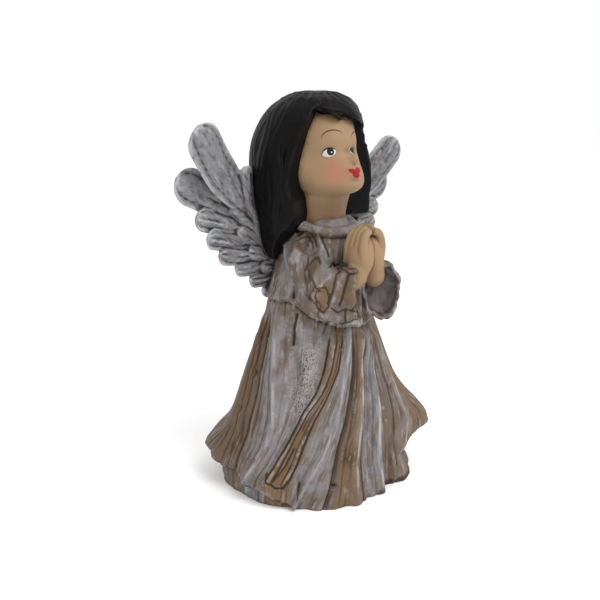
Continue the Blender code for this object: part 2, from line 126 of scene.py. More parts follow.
def ball(centre, radii, zone, tilt=(0, 0, 0), levels=24, sides=36):
    polar = np.linspace(0.02, math.pi - 0.02, levels)[:, None]
    turn = np.linspace(0, 2 * math.pi, sides, endpoint=False)[None, :]
    rows = np.stack([
        np.sin(polar) * np.cos(turn) * radii[0], np.sin(polar) * np.sin(turn) * radii[1],
        -np.cos(polar) * np.ones_like(turn) * radii[2],
    ], axis=2)
    x, y, z = (math.radians(t) for t in tilt)
    turned = Matrix.Rotation(z, 3, "Z") @ Matrix.Rotation(y, 3, "Y") @ Matrix.Rotation(x, 3, "X")
    stackBody(rows @ np.array(turned).T + np.asarray(centre, float), zone)


# short names of nodes that come again and again, with their settings
shortNodes = {name: ("ShaderNodeMath", {"operation": name}) for name in (
    "ADD", "SUBTRACT", "MULTIPLY", "DIVIDE", "MAXIMUM", "ABSOLUTE", "POWER", "SINE", "COSINE", "EXPONENT")}
shortNodes["ramp"] = ("ShaderNodeMapRange", {"interpolation_type": "SMOOTHSTEP"})  # 0 below its low value, 1 above its high
shortNodes["keep"] = ("GeometryNodeStoreNamedAttribute", {"domain": "POINT"})
for short, operation in (("cross", "CROSS_PRODUCT"), ("unit", "NORMALIZE"), ("scaled", "SCALE"), ("sum", "ADD"),
                         ("length", "LENGTH")):
    shortNodes[short] = ("ShaderNodeVectorMath", {"operation": operation})


def addNode(tree, kind, *inputs, **settings):
    # adds a node; its inputs come in order or in a dictionary, each a value, or a node or socket to link
    kind, preset = shortNodes.get(kind, (kind, {}))
    made = tree.nodes.new(kind)
    for name, value in {**preset, **settings}.items():
        setattr(made, name, value)
    given = inputs[0] if inputs and isinstance(inputs[0], dict) else dict(enumerate(inputs))
    for key, value in given.items():
        if isinstance(value, bpy.types.Node):
            tree.links.new(value.outputs[0], made.inputs[key])
        elif isinstance(value, bpy.types.NodeSocket):
            tree.links.new(value, made.inputs[key])
        else:
            made.inputs[key].default_value = value
    return made


# the carved strand: a section swept along a path, for feathers, locks of hair, fingers and rolls
strandInputs = [
    ("Sides", "NodeSocketInt"), ("Groove Count", "NodeSocketFloat"), ("Groove Depth", "NodeSocketFloat"),
    ("Groove Wander", "NodeSocketFloat"), ("Barb Spacing", "NodeSocketFloat"), ("Barb Slant", "NodeSocketFloat"),
    ("Barb Depth", "NodeSocketFloat"), ("Rib Height", "NodeSocketFloat"), ("Finish", "NodeSocketMaterial"),
]


def buildStrandTree():
    tree = bpy.data.node_groups.new("carvedStrand", "GeometryNodeTree")
    node = partial(addNode, tree)
    tree.interface.new_socket("Geometry", in_out="INPUT", socket_type="NodeSocketGeometry")
    for name, kind in strandInputs:
        tree.interface.new_socket(name, in_out="INPUT", socket_type=kind)
    tree.interface.new_socket("Geometry", in_out="OUTPUT", socket_type="NodeSocketGeometry")
    given = node("NodeGroupInput").outputs
    vectors, numbers = ("outward", "centre", "across", "up"), ("along", "turn", "half", "deep")
    kept = {name: node("GeometryNodeInputNamedAttribute", {"Name": name},
                       data_type="FLOAT_VECTOR" if name in vectors else "FLOAT")
            for name in vectors + numbers}
    path = node("GeometryNodeMeshToCurve", {"Mesh": given["Geometry"]})
    tangent = node("GeometryNodeInputTangent")
    across = node("unit", node("cross", tangent, kept["outward"]))
    up = node("cross", across, tangent)
    length = node("GeometryNodeSplineParameter").outputs["Length"]
    # each point of the path keeps its place and its two directions, which the sweep hands on to the section there
    for name, value in (("centre", node("GeometryNodeInputPosition")), ("across", across), ("up", up), ("along", length)):
        kind = "FLOAT_VECTOR" if name in vectors else "FLOAT"
        path = node("keep", {"Geometry": path, "Name": name, "Value": value}, data_type=kind)
    ring = node("GeometryNodeCurvePrimitiveCircle", {"Resolution": given["Sides"], "Radius": 1.0}, mode="RADIUS")
    turn = node("DIVIDE", node("MULTIPLY", node("GeometryNodeInputIndex"), 2 * math.pi), given["Sides"])
    ring = node("keep", {"Geometry": ring, "Name": "turn", "Value": turn}, data_type="FLOAT")
    swept = node("GeometryNodeCurveToMesh", {"Curve": path, "Profile Curve": ring, "Fill Caps": True})

    u = node("COSINE", kept["turn"])
    w = node("SINE", kept["turn"])
    face = node("MAXIMUM", w, 0)
    side = node("ABSOLUTE", u)
    wander = node("ShaderNodeTexNoise", {"Vector": kept["centre"], "Scale": 0.09, "Detail": 1.0})
    wander = node("MULTIPLY", node("SUBTRACT", wander.outputs["Fac"], 0.5), given["Groove Wander"])
    groove = node("ADD", node("MULTIPLY", node("MULTIPLY", u, math.pi), given["Groove Count"]), wander)
    groove = node("MULTIPLY", node("POWER", node("ABSOLUTE", node("COSINE", node("MULTIPLY", groove, 0.5))), 5),
                  given["Groove Depth"])
    barb = node("SUBTRACT", node("DIVIDE", kept["along"], given["Barb Spacing"]),
                node("MULTIPLY", side, given["Barb Slant"]))
    barb = node("MULTIPLY", node("COSINE", node("MULTIPLY", barb, 2 * math.pi)), given["Barb Depth"])
    rib = node("MULTIPLY", node("EXPONENT", node("MULTIPLY", node("MULTIPLY", u, u), -45)), given["Rib Height"])
    relief = node("ADD", node("SUBTRACT", barb, groove), rib)
    wide = node("scaled", {0: kept["across"], "Scale": node("MULTIPLY", u, kept["half"])})
    rise = node("ADD", node("MULTIPLY", w, kept["deep"]), node("MULTIPLY", relief, face))
    moved = node("sum", kept["centre"], node("sum", wide, node("scaled", {0: kept["up"], "Scale": rise})))
    placed = node("GeometryNodeSetPosition", {"Geometry": swept, "Position": moved})
    real = node("GeometryNodeRealizeInstances", {"Geometry": placed})
    painted = node("GeometryNodeSetMaterial", {"Geometry": real, "Material": given["Finish"]})
    node("NodeGroupOutput", {"Geometry": painted})
    return tree


strandTree = buildStrandTree()
# cast polyresin under acrylic brushed on by hand: matt and a little uneven, satin on skin and hair
resin = bpy.data.materials.new("handPaintedPolyresin")


def strand(points, half, deep, outward, levels=60):
    # a path with its half-widths, half-thicknesses and the way its face looks
    path = curveThrough(points, levels)
    t = np.linspace(0, 1, levels)
    outward = np.asarray(outward, float)
    outward = np.repeat(outward[None], levels, axis=0) if outward.ndim == 1 else curveThrough(outward, levels)
    spread = [np.interp(t, np.linspace(0, 1, len(row)), row) for row in (half, deep)]
    return path, spread[0], spread[1], outward


def sweepStrands(name, strands, zone, **inputs):
    points = np.vstack([s[0] for s in strands])
    edges, start = [], 0
    for s in strands:
        edges += [(start + i, start + i + 1) for i in range(len(s[0]) - 1)]
        start += len(s[0])
    mesh = bpy.data.meshes.new(name)
    mesh.from_pydata(points.tolist(), edges, [])
    for key, k in (("half", 1), ("deep", 2)):
        values = np.concatenate([s[k] for s in strands]).astype(np.float32)
        mesh.attributes.new(key, "FLOAT", "POINT").data.foreach_set("value", values)
    outward = np.vstack([s[3] for s in strands]).astype(np.float32)
    mesh.attributes.new("outward", "FLOAT_VECTOR", "POINT").data.foreach_set("vector", outward.ravel())
    paths = bpy.data.objects.new(name, mesh)
    bpy.context.collection.objects.link(paths)
    sweep = paths.modifiers.new("Sweep", "NODES")
    sweep.node_group = strandTree
    values = {"Sides": 24, "Groove Count": 1.0, "Groove Depth": 0.0, "Groove Wander": 0.0, "Barb Spacing": 1.0,
              "Barb Slant": 0.0, "Barb Depth": 0.0, "Rib Height": 0.0, "Finish": resin, **inputs}
    for socket in strandTree.interface.items_tree:
        if socket.in_out == "INPUT" and socket.name in values:
            sweep[socket.identifier] = values[socket.name]
    swept = bpy.data.meshes.new_from_object(paths.evaluated_get(bpy.context.evaluated_depsgraph_get()))
    bpy.data.objects.remove(paths, do_unlink=True)
    keepForm([v.co[:] for v in swept.vertices], [list(p.vertices) for p in swept.polygons], zone)
    bpy.data.meshes.remove(swept)


# the robe
robe = {
    # outline of the skirt on the table: angle from the front, radius
    "ground": [(-180, 34), (-155, 36), (-130, 37.8), (-107, 35.9), (-84, 33.3), (-56, 30.8), (-38, 31.6), (-24, 30.6),
               (6, 29), (32, 32.2), (48, 38.6), (70, 38.6), (95, 35), (120, 36.5), (150, 35), (180, 34)],
    "spread": [(-5, 1), (0, 1), (12, 0.99), (20, 0.91), (30, 0.75), (40, 0.53), (52, 0.26), (64, 0)],
    "side": [(64, 21.5), (70, 20), (78, 19), (86, 17.6), (92, 16.4), (97, 14.2), (101, 11), (105, 8)],
    "front": [(64, 19.5), (70, 18), (78, 16.5), (86, 14.6), (92, 12.8), (97, 11.6), (101, 10.2), (105, 8)],
    "back": [(64, 20), (70, 19), (78, 18), (86, 15.8), (92, 13.6), (97, 11), (101, 9.2), (105, 8)],
    "shift": [(0, 0), (75, 0), (90, -1.2), (105, -2.8)],
    # the overskirt's hem above the table round the axis, negative where it runs out on the table
    "hem": [(-180, 12), (-150, 15), (-133, 14), (-107, 9), (-84, 6), (-62, 2), (-48, -4), (24, -4), (28, 2), (33, 12),
            (40, 15), (48, 16.4), (56, 17.8), (72, 18.5), (100, 15), (140, 10), (180, 12)],
    # the waist seam: angle, height
    "seam": [(-180, 72), (-105, 75), (-75, 76.2), (-64, 74.5), (-52, 71), (-34, 68.6), (-20, 66.4), (22, 64.8), (60, 66),
             (110, 70), (180, 72)],
    # corners where the overskirt is thrown out: angle, half-width in degrees, reach, and from where to where it fades
    "throws": [(-135, 17, 6, 0, 9), (62, 15, 6, 4, 24)],
    # knots in the wood: angle, height, half-sizes
    "knots": [(-112, 33, 2.6, 2.2), (-106, 47, 2, 1.6), (-116, 58, 2, 2), (-104, 62, 1.6, 1.3), (-32, 9, 1.6, 1.2)],
    "grainDepth": 0.3,  # mm, depth of the carved wood grain
}
# broad folds: (height, angle) pairs, half-width, height above the cloth, paint (1 pale ridge with dry brushing and
# painted highlight, -1 dark groove with wash and painted shade)
swirlLeft = [(64, -25), (62.5, -26), (52, -33), (44, -41), (37, -52), (28, -61), (19, -69), (10, -76)]
swirlRight = [(64, -19), (62, -20), (52, -26), (42, -38), (34, -48), (25, -55), (18, -59), (10, -65)]
ridgeLeft = [(73.6, -87), (64.6, -88), (54, -84), (44, -80), (32, -76), (22, -80), (10, -90), (2, -95)]
grooveLeft = [(66, -68), (53, -67), (36, -62), (22, -66)]
ridgeFront = [(63.5, -8), (53, -17), (42, -24), (32, -31), (22, -39), (15, -46), (7, -53), (0, -58)]
grooveFront = [(64.6, 2), (53, -3), (41, -12), (31, -20), (23, -27), (7, -34), (0, -38)]
ridgeMiddle = [(62, 13), (50, 0), (37, -7), (27, -13), (17, -17), (6, -16), (-3, -15)]
grooveMiddle = [(62, 9), (50, 6), (30, 0), (12, -2), (-3, -2)]
ridgeRight = [(58, 19), (49, 14), (34, 13), (24, 9), (14, 7), (6, 10), (-3, 12)]
grooveRight = [(58, 27), (40, 26), (20, 22), (-3, 22)]
ridgeCorner = [(60, 38), (40, 40), (24, 40), (12, 36), (-3, 34)]
grooveSide = [(70, -108), (56, -103), (40, -99), (24, -100), (8, -104)]
ridgeSide = [(68, -120), (52, -118), (36, -114), (18, -116), (4, -118)]
folds = [
    (swirlLeft, 1.7, 1.7, 0.1), (swirlRight, 1.6, 1.5, 0.1), (ridgeLeft, 2.4, 1.6, 0.5), (grooveLeft, 2, -1.3, -0.3),
    (ridgeFront, 2.2, 1.6, 0.4), (grooveFront, 2.2, -1.8, -0.7), (ridgeMiddle, 2.6, 2, 0.5), (grooveMiddle, 2, -1.2, -0.3),
    (ridgeRight, 2.4, 1.7, 0.7), (grooveRight, 2.2, -1.6, -0.4), (ridgeCorner, 2.8, 1.5, 0.4),
    (grooveSide, 2.4, -1.3, -0.5), (ridgeSide, 2.8, 1.5, 0),
]
# plainer folds and grooves round the far side and the back
for a in (62, 88, 112, 138, 163, 188, 213):
    folds.append(([(66, a), (46, a + 3), (26, a - 2), (4, a + 2), (-3, a + 2)], 3.2, 1.6, 0.3))
for a in (50, 75, 100, 125, 151, 176, 201):
    folds.append(([(64, a), (40, a + 2), (10, a - 1), (-3, a)], 2.8, -1.4, -0.3))
# fine cuts along the folds: path, shift in degrees at flowHeight, half-width and depth in mm, strength of the ink in them
cuts = [
    (swirlLeft, -1.6, 0.42, 1, 1), (swirlLeft, 1.9, 0.36, 0.9, 0.9), (swirlRight, -1.6, 0.32, 0.7, 0.7),
    (swirlRight, 2.2, 0.42, 0.9, 1), (ridgeLeft, -5.5, 0.36, 0.5, 0.45), (ridgeLeft, 3.4, 0.3, 0.4, 0.25),
    (ridgeLeft, 8.5, 0.3, 0.35, 0.3), (ridgeFront, -6.5, 0.3, 0.4, 0.3), (ridgeFront, 4.4, 0.3, 0.35, 0.25),
    (grooveFront, -1, 0.45, 0.9, 0.9), (grooveFront, 3.8, 0.32, 0.5, 0.5), (ridgeMiddle, 6, 0.42, 0.8, 0.75),
    (ridgeMiddle, 10.5, 0.3, 0.4, 0.3), (ridgeRight, -5, 0.32, 0.45, 0.4), (ridgeRight, 6.5, 0.42, 0.7, 0.7),
    (ridgeRight, 13, 0.3, 0.4, 0.35), (ridgeCorner, -6.5, 0.4, 0.6, 0.6), (ridgeCorner, 7, 0.32, 0.4, 0.3),
    (grooveSide, -1, 0.45, 0.9, 0.8), (grooveSide, -6, 0.36, 0.6, 0.6), (grooveSide, 7.5, 0.3, 0.4, 0.4),
    (ridgeSide, 4, 0.4, 0.7, 0.6), (ridgeSide, -6, 0.36, 0.5, 0.5),
]
# ridges brushed almost white, a painted highlight along their tops: path, shift, half-width, strength
lights = [(ridgeLeft, 0.5, 0.55, 0.8), (ridgeFront, -0.5, 0.6, 0.6), (ridgeMiddle, 1.5, 0.6, 0.7),
          (ridgeRight, 0, 0.7, 0.9), (ridgeRight, 9.5, 0.4, 0.7), (ridgeCorner, 1, 0.5, 0.6), (grooveSide, 3.5, 0.4, 0.5)]
# how grey and how ochre the cloth is painted, along the flow round the figure
greyOver = [(-180, 0.35), (-130, 0.3), (-115, 0.12), (-101, 0.1), (-93, 0.45), (-87, 0.9), (-72, 1), (-64, 0.85),
            (-60, 0.4), (-57, 0),
            (-51, 0), (-48, 0.5), (-44, 0.85), (-34, 1), (-28, 0.9), (-23, 0.6), (-18, 0.15), (-12, 0.1), (-5, 0.3),
            (-1, 0.85), (9, 0.95), (15, 0.45), (25, 0.3), (38, 0.5), (46, 0.2), (60, 0.25), (100, 0.35), (180, 0.35)]
ochreOver = [(-180, 0.1), (-112, 0.1), (-96, 0.15), (-88, 0), (-62, 0), (-58, 0.7), (-51, 0.6), (-46, 0.2), (-38, 0),
             (-24, 0), (-17, 0.45), (-8, 0.45), (-2, 0), (12, 0), (30, 0.1), (52, 0.3), (75, 0.3), (100, 0.1), (180, 0.1)]
# carving on the bodice and the sleeve: (angle, height) places, half-width, height, paint and its strength
strokes = [
    ([(-86, 102), (-76, 103.7), (-60, 102.9), (-50, 99.1), (-46, 95.1), (-54, 93.4), (-64, 94.8), (-76, 97.8), (-86, 102)],
     0.45, -0.5, "dark", 0.6),
    ([(-84, 99.6), (-77, 101.2), (-69, 101.6), (-61, 100.8), (-54, 98.6), (-50, 96.2)], 0.45, -0.7, "dark", 1),
    ([(-80, 98), (-72, 99.4), (-64, 99.2), (-58, 97.6), (-55, 95.6)], 0.4, -0.6, "dark", 0.9),
    ([(-74, 96.4), (-67, 97.6), (-61, 96.4)], 0.35, -0.5, "dark", 0.8),
    ([(-80, 101), (-72, 101.8)], 0.9, 0.6, "wood", 0.8), ([(-66, 98.2), (-58, 98.8)], 0.9, 0.5, "wood", 0.8),
    ([(-57, 101.4), (-53, 98.4)], 0.8, 0.6, "wood", 0.8), ([(-73, 97), (-60, 94.6)], 1, 0.4, "wood", 0.8),
    ([(-52, 100.6), (-44.2, 97.4), (-38, 94.7), (-35, 92.1)], 0.9, 0.6, "pale", 0.8),
    ([(-47, 100.8), (-40.5, 97.6), (-34.5, 94.8), (-31, 92.6)], 0.5, -0.7, "dark", 0.9),
    ([(-14, 97.5), (-17, 94.4), (-19, 91.9)], 0.8, 0.5, "pale", 0.6),
    ([(-57, 93), (-56, 91), (-57.5, 89)], 0.45, -0.6, "dark", 0.9),
    ([(-54, 90.6), (-50.5, 92.4), (-46, 92.6), (-43, 90.6)], 0.4, -0.5, "dark", 0.9),
    ([(-47.5, 87.2), (-45.4, 85.4), (-43.2, 84.4)], 1.2, 1, "pale", 1),
    ([(-42.4, 84.4), (-39.6, 86.6), (-34, 88.6)], 1, 0.9, "pale", 1), ([(-40, 90.2), (-36, 89.4)], 0.8, 0.7, "pale", 0.8),
    ([(-49.4, 87), (-45.4, 83.7), (-42.4, 82.8)], 0.35, -0.6, "dark", 0.9),
    ([(-30, 90.2), (-24, 91), (-17, 90)], 1.1, 0.6, "wood", 1),
    ([(-29, 89), (-25, 90.2), (-22, 88.8), (-16, 89.4)], 0.4, -0.7, "dark", 1),
    ([(-28, 88.8), (-30.2, 85.9), (-31.8, 83), (-34.2, 78.2)], 0.9, 0.7, "pale", 0.7),
    ([(-30.6, 88.6), (-32.6, 85.6), (-34.2, 82.6), (-36.4, 78.4)], 0.45, -0.7, "dark", 0.9),
    ([(-22.7, 88.6), (-25.5, 85.4), (-27.8, 82.2), (-29.1, 78.1)], 0.5, -0.8, "dark", 1),
    ([(-15, 87.6), (-16, 83), (-20, 80), (-22, 76)], 0.5, -0.6, "dark", 0.8),
    ([(-40.6, 82.6), (-40.4, 79.4), (-39.6, 76.6)], 2.1, -1.3, "ochre", 1),
    ([(-45.6, 81.2), (-43.6, 83.9), (-38.6, 84.2), (-36.2, 81.5), (-35.8, 77.3), (-38.7, 74.6), (-43.6, 76.2),
      (-45.6, 81.2)], 0.4, -0.4, "dark", 0.9),
    ([(-33, 84.6), (-34, 81.6), (-34.8, 78.9), (-35, 76.4)], 0.7, 1, "pale", 1),
    ([(-25.3, 76.7), (-25.4, 73.6), (-23.5, 70)], 0.35, -0.6, "dark", 1),
    ([(-34.3, 77), (-29.7, 75.4), (-25.4, 77), (-19.7, 76)], 0.4, -0.5, "dark", 0.9),
    ([(-21.5, 71.2), (-14, 70.2), (-7, 69.2)], 1.7, 0.9, "pale", 1),
    ([(-25, 71), (-20, 73.4), (-10, 72.2), (-3.5, 71), (-6, 67.4), (-16, 68), (-25, 69.4), (-25, 71)], 0.35, -0.6, "dark",
     0.9),
    ([(-96, 96), (-80, 91), (-72, 85), (-73, 78.6)], 1.4, 0.8, "pale", 0.8),
    ([(-90, 95.6), (-76, 90), (-68, 84.5), (-69, 78.4)], 0.6, -0.7, "dark", 0.5),
    ([(-61, 91.6), (-57, 87.3), (-52.3, 82.9), (-49.4, 78.4)], 0.6, -0.7, "dark", 0.6),
    ([(-72.7, 95.4), (-64.6, 88.8), (-59.3, 82.9), (-63, 77.4)], 1.2, 0.6, "pale", 0.7),
    ([(-65.3, 71.8), (-68.4, 65.9), (-68.7, 60.3)], 0.6, -1, "dark", 1),
    ([(-76.5, 13.5), (-76, 10.4), (-71, 8.2), (-66, 8.4), (-62.6, 11.5)], 0.5, -0.9, "dark", 1),
    ([(-60, 23.5), (-65.5, 17), (-72.5, 10.5)], 0.4, -0.6, "dark", 1),
    ([(30, 97), (26, 92), (31, 86)], 1, 0.7, "pale", 0.7),
    ([(60, 95), (66, 88), (64, 80)], 1.2, 0.8, "pale", 0.7), ([(78, 96), (84, 88), (80, 80)], 0.6, -0.8, "dark", 0.7),
]
scratchRandom = np.random.RandomState(7)
for _ in range(90):  # short scratches that hang down the bodice, all round
    a, h = scratchRandom.uniform(-180, 180), scratchRandom.uniform(70, 99)
    lean, fall = scratchRandom.uniform(-8, 8), scratchRandom.uniform(2.5, 6)
    raised = scratchRandom.rand() < 0.45
    strokes.append(([(a, h), (a + lean * 0.6, h - fall * 0.5), (a + lean, h - fall)], scratchRandom.uniform(0.35, 0.8),
                    0.45 if raised else -0.5, "pale" if raised else "dark", 0.7))
flowLines = [ridgeSide, grooveSide, ridgeLeft, swirlLeft, swirlRight, ridgeFront, grooveFront, ridgeMiddle, ridgeRight,
             ridgeCorner]
flowHeight = 30.0  # mm, height at which the flow is read as plain angle


def pathAngle(path, z):
    path = sorted(path)
    return np.interp(z, [p[0] for p in path], [p[1] for p in path])


def flowAngle(angle, z):
    # the angle that this point's grain line has at flowHeight, and how many degrees here one degree there is
    angle = angleGap(angle, 0)
    before, after = [-180, -150], [62, 90, 120, 150, 180]  # here the grain hangs straight
    labels = before + [float(pathAngle(p, flowHeight)) for p in flowLines] + after
    lines = [np.full_like(z, s) for s in before] + [pathAngle(p, z) for p in flowLines]
    lines += [np.full_like(z, s) for s in after]
    lines = np.maximum.accumulate(np.stack(lines), axis=0)
    flow, stretch = np.full_like(angle, labels[0]), np.ones_like(angle)
    for k in range(len(labels) - 1):
        gap = np.maximum(lines[k + 1] - lines[k], 1e-3)
        inside = (angle >= lines[k]) & (angle <= lines[k + 1])
        flow = np.where(inside, labels[k] + (angle - lines[k]) / gap * (labels[k + 1] - labels[k]), flow)
        stretch = np.where(inside, gap / (labels[k + 1] - labels[k]), stretch)
    return flow, stretch


def cutFlow(path, shift):
    return float(pathAngle(path, flowHeight)) + shift


def foldReach(path, z):
    path = sorted(path)
    reach = 1.0 - smoothStep(path[-1][0] - 3.0, path[-1][0] + 3.0, z)
    return reach if path[0][0] < 0.0 else reach * smoothStep(path[0][0] - 3.0, path[0][0] + 2.0, z)


def robeBase(angle, z):
    radians = np.radians(angle)
    side, front, back = (readTable(z, robe[key]) for key in ("side", "front", "back"))
    deep = np.where(np.abs(angleGap(angle, 0)) < 90.0, front, back)
    radius = 1.0 / np.sqrt((np.sin(radians) / side) ** 2 + (np.cos(radians) / deep) ** 2)
    scallop = 0.7 * np.cos(np.radians(angle * 9.0)) * (1.0 - smoothStep(6, 24, z))
    ground = readTable(angleGap(angle, 0), robe["ground"]) + scallop
    radius = radius + (ground - radius) * readTable(z, robe["spread"]) * (z < 64.0)
    hem = readTable(angleGap(angle, 0), robe["hem"])
    hem = hem + np.where(hem > 0.0, 0.5 * np.sin(np.radians(angle * 17.0)), 0)
    over = smoothStep(-0.5, 0.5, z - hem)
    cloth = 0.3 + 2.0 * (hem > 0.0) * (1.0 - smoothStep(3, 16, z - hem))
    throw = 0.0
    for at, wide, reach, low, high in robe["throws"]:
        throw = throw + reach * bell(angleGap(angle, at), 0, wide) * (1.0 - smoothStep(low, high, z - hem))
    under = 6.5 * bell(angleGap(angle, 60), 0, 32) * smoothStep(0, 14, z)
    tuck = 3.4 * bell(angleGap(angle, 39), 0, 11) * (1.0 - smoothStep(14, 30, z))
    radius = radius + over * (cloth + throw - tuck) - (1.0 - over) * under
    for path, half, height, paint in folds:
        off = radius * np.radians(angleGap(angle, pathAngle(path, z)))
        radius = radius + height * foldReach(path, z) * bell(off, 0, half)
    for s in (-1, 1):  # the bodice is drawn over the upper arms
        radius = radius + 2.6 * bell(angleGap(angle, 62.0 * s), 0, 36) * bell(z, 84, 11)
    seam = readTable(angleGap(angle, 0), robe["seam"])
    return radius + 0.7 * bell(z, seam + 1.8, 1.5) - 0.8 * bell(z, seam - 0.3, 0.6), over, hem


def robePaint(angle, z):
    # paint that follows the carving: pale ridges, dry brushed and with painted highlight, dark cuts, washed and with
    # painted shade, brown wood, pitted panel
    radius = robeBase(angle, z)[0]
    pale, dark = np.zeros_like(z), np.zeros_like(z)
    for path, half, height, paint in folds:
        off = radius * np.radians(angleGap(angle, pathAngle(path, z)))
        line = abs(paint) * foldReach(path, z)
        if paint > 0:
            pale = np.maximum(pale, line * bell(off, 0, half * 1.1))
        else:
            dark = np.maximum(dark, line * bell(off, 0, half * 0.6))
    turn = angleGap(angle, 0)
    wood = bell(turn, -113, 15) * within(z, 6, 20, 66, 74)
    between = (turn - pathAngle(swirlLeft, z)) / (pathAngle(swirlRight, z) - pathAngle(swirlLeft, z))
    wood = np.maximum(wood, 0.6 * bell(between, 0.5, 0.55) * (z < 50.0) * (z > 8.0))
    wood = np.maximum(wood, 0.5 * bell(turn, -24, 8) * (1.0 - smoothStep(18, 30, z)))
    wood = np.maximum(wood, 0.4 * smoothStep(36, 52, turn) * (z < 62.0))
    panel = bell(turn, -50.0 - 0.3 * (62.0 - z), 11) * within(z, 32, 38, 58, 66)
    flow = flowAngle(angle, z)[0]
    return pale, dark, wood, panel, readTable(flow, greyOver), readTable(flow, ochreOver)


def robeRadius(angle, z):
    radius, over, hem = robeBase(angle, z)
    flow, stretch = flowAngle(angle, z)
    for path, shift, half, depth, strength in cuts:
        off = radius * np.radians(flow - cutFlow(path, shift)) * stretch
        radius = radius - depth * foldReach(path, z) * bell(off, 0, half)
    pale, dark, wood, panel, grey, ochre = robePaint(angle, z)
    streak = grainNoise(flow / 360.0 * 128, z / 15.0, 3) + 0.5 * grainNoise(flow / 360.0 * 64, z / 24.0, 5)
    grain = smoothStep(0.75, 1.15, streak)
    strong = 0.25 + 1.1 * wood - 0.4 * grey
    radius = radius - robe["grainDepth"] * np.clip(strong, 0, 1.6) * grain * (z < 100.0)
    radius = radius + 0.25 * (grainNoise(flow / 360.0 * 128, z / 7.0, 9) - 0.5)
    radius = radius - 0.3 * panel * smoothStep(0.6, 0.8, grainNoise(angle / 360.0 * 128, z / 1.4, 13))
    for a, h, wide, tall in robe["knots"]:
        away = np.hypot(radius * np.radians(angleGap(angle, a)) / wide, (z - h) / tall)
        radius = radius - 0.9 * bell(away, 0, 0.7) + 0.35 * bell(away, 1.3, 0.4)
    # rolled lip along the thrown hem
    lip = bell(z - hem, 0.9, 0.9) * (hem > 0.0)
    return radius + 0.35 * lip + 0.5 * bell(z, 0.4, 1.2) * (grainNoise(angle / 360.0 * 64, 0.5, 21) - 0.5)


def robeShift(z):
    return readTable(z, robe["shift"])


def strokeNear(places, half, angle, z, radius):
    # 1 on the stroke's line, falling to 0 beside it; lengths in mm on a surface at this radius
    near = np.zeros_like(z)
    places = np.array(places, float)
    reach = 3.0 * half
    span = np.degrees(reach / 12.0)
    inside = (z > places[:, 1].min() - reach) & (z < places[:, 1].max() + reach)
    inside &= np.abs(angleGap(angle, places[:, 0].mean())) < np.ptp(places[:, 0]) * 0.6 + span
    if not inside.any():
        return near
    a, h, r = angle[inside], z[inside], radius[inside]
    away = np.full(len(h), 1e3)
    for (a0, h0), (a1, h1) in zip(places[:-1], places[1:]):
        x, y = r * np.radians(angleGap(a, a0)), h - h0
        dx, dy = r * np.radians(a1 - a0), h1 - h0
        t = np.clip((x * dx + y * dy) / (dx * dx + dy * dy + 1e-9), 0, 1)
        away = np.minimum(away, np.hypot(x - t * dx, y - t * dy))
    near[inside] = np.exp(-((away / half) ** 2))
    return near


def carveStrokes(points):
    # moves points in or out from the body's axis along every stroke
    x, y, z = points[..., 0], points[..., 1] - robeShift(points[..., 2]), points[..., 2]
    radius, angle = np.hypot(x, y), np.degrees(np.arctan2(x, -y))
    lift = np.zeros_like(z)
    for places, half, height, paint, strength in strokes:
        lift = lift + height * strokeNear(places, half, angle, z, radius)
    lift = np.clip(lift, -1.6, 1.4)
    moved = points.copy()
    moved[..., 0] += lift * x / np.maximum(radius, 1)
    moved[..., 1] += lift * y / np.maximum(radius, 1)
    return moved


z = np.linspace(-cast["footBelow"], 105, 320)[:, None]
angle = np.linspace(-180, 180, 720, endpoint=False)[None, :]
z, angle = np.broadcast_arrays(z, angle)
radius = robeRadius(angle, z.copy())
rows = np.stack([radius * np.sin(np.radians(angle)), robeShift(z) - radius * np.cos(np.radians(angle)), z], axis=2)
stackBody(carveStrokes(rows), "robe")
print("robe carved")

# the head
head = {
    "centre": (0, -1, 128), "radius": 17.5,
    "nod": 16.0,  # degrees, the face looks up
    "turn": -3.0,  # degrees, towards the figure's right
    # brushes on the face: azimuth, elevation, spread across and up in degrees, height in mm
    "brushes": [(-50, -2, 30, 30, -3.9), (51, -3.7, 30.3, 33.5, -5), (-31, -41.5, 23, 14.4, 1.8),
                (33.5, -41.9, 26.9, 14.8, 2.3),
                (6, -49, 19, 14.9, 2.9), (4, -31, 12, 9, 2.2), (2.5, -17, 4, 4.6, 2.5), (-3, -7, 14, 9, -1.2),
                (0, 45, 40, 24, 0.8),
                (-26, -6, 10, 7.5, -1.1), (16, -6, 10, 7.5, -1.7), (-0.6, -20.2, 2.2, 2, 0.6), (5.4, -20.2, 2.2, 2, 0.6),
                (-1, -39, 6, 1.8, -0.4), (0.8, -25, 2, 2.4, -0.3)],
    "lips": [(-3.4, -29.2, 4, 2.2, 0.7), (1.8, -29, 4, 2.2, 0.7), (-0.8, -33.8, 4.6, 2.3, 0.75),
             (-0.8, -31.3, 7, 0.7, -0.5)],
    "eyes": [(-27.5, -8), (8, -10.6)],
    "eyeHalf": [9, 7.6],  # degrees across
    # painted eyes, mm: half-width of the white, how far aside the iris looks, its half-width
    "white": [2.7, 2.1], "gaze": [0.5, -0.3], "iris": [1.22, 1.45],
    "brows": [(7, 11.8, 3), (12, 8, -2)],  # degrees beside the eye, elevation, roll
    "blush": [(-22, -31.5), (25, -31.5)], "mouth": (-0.8, -31),
    "lipPaint": [(-1, 0.45, 1.35, 0.75), (1.05, 0.7, 1.3, 0.85), (0.1, -0.65, 1.35, 1.1)],  # place, half-sizes, mm
}
headCentre = np.array(head["centre"])


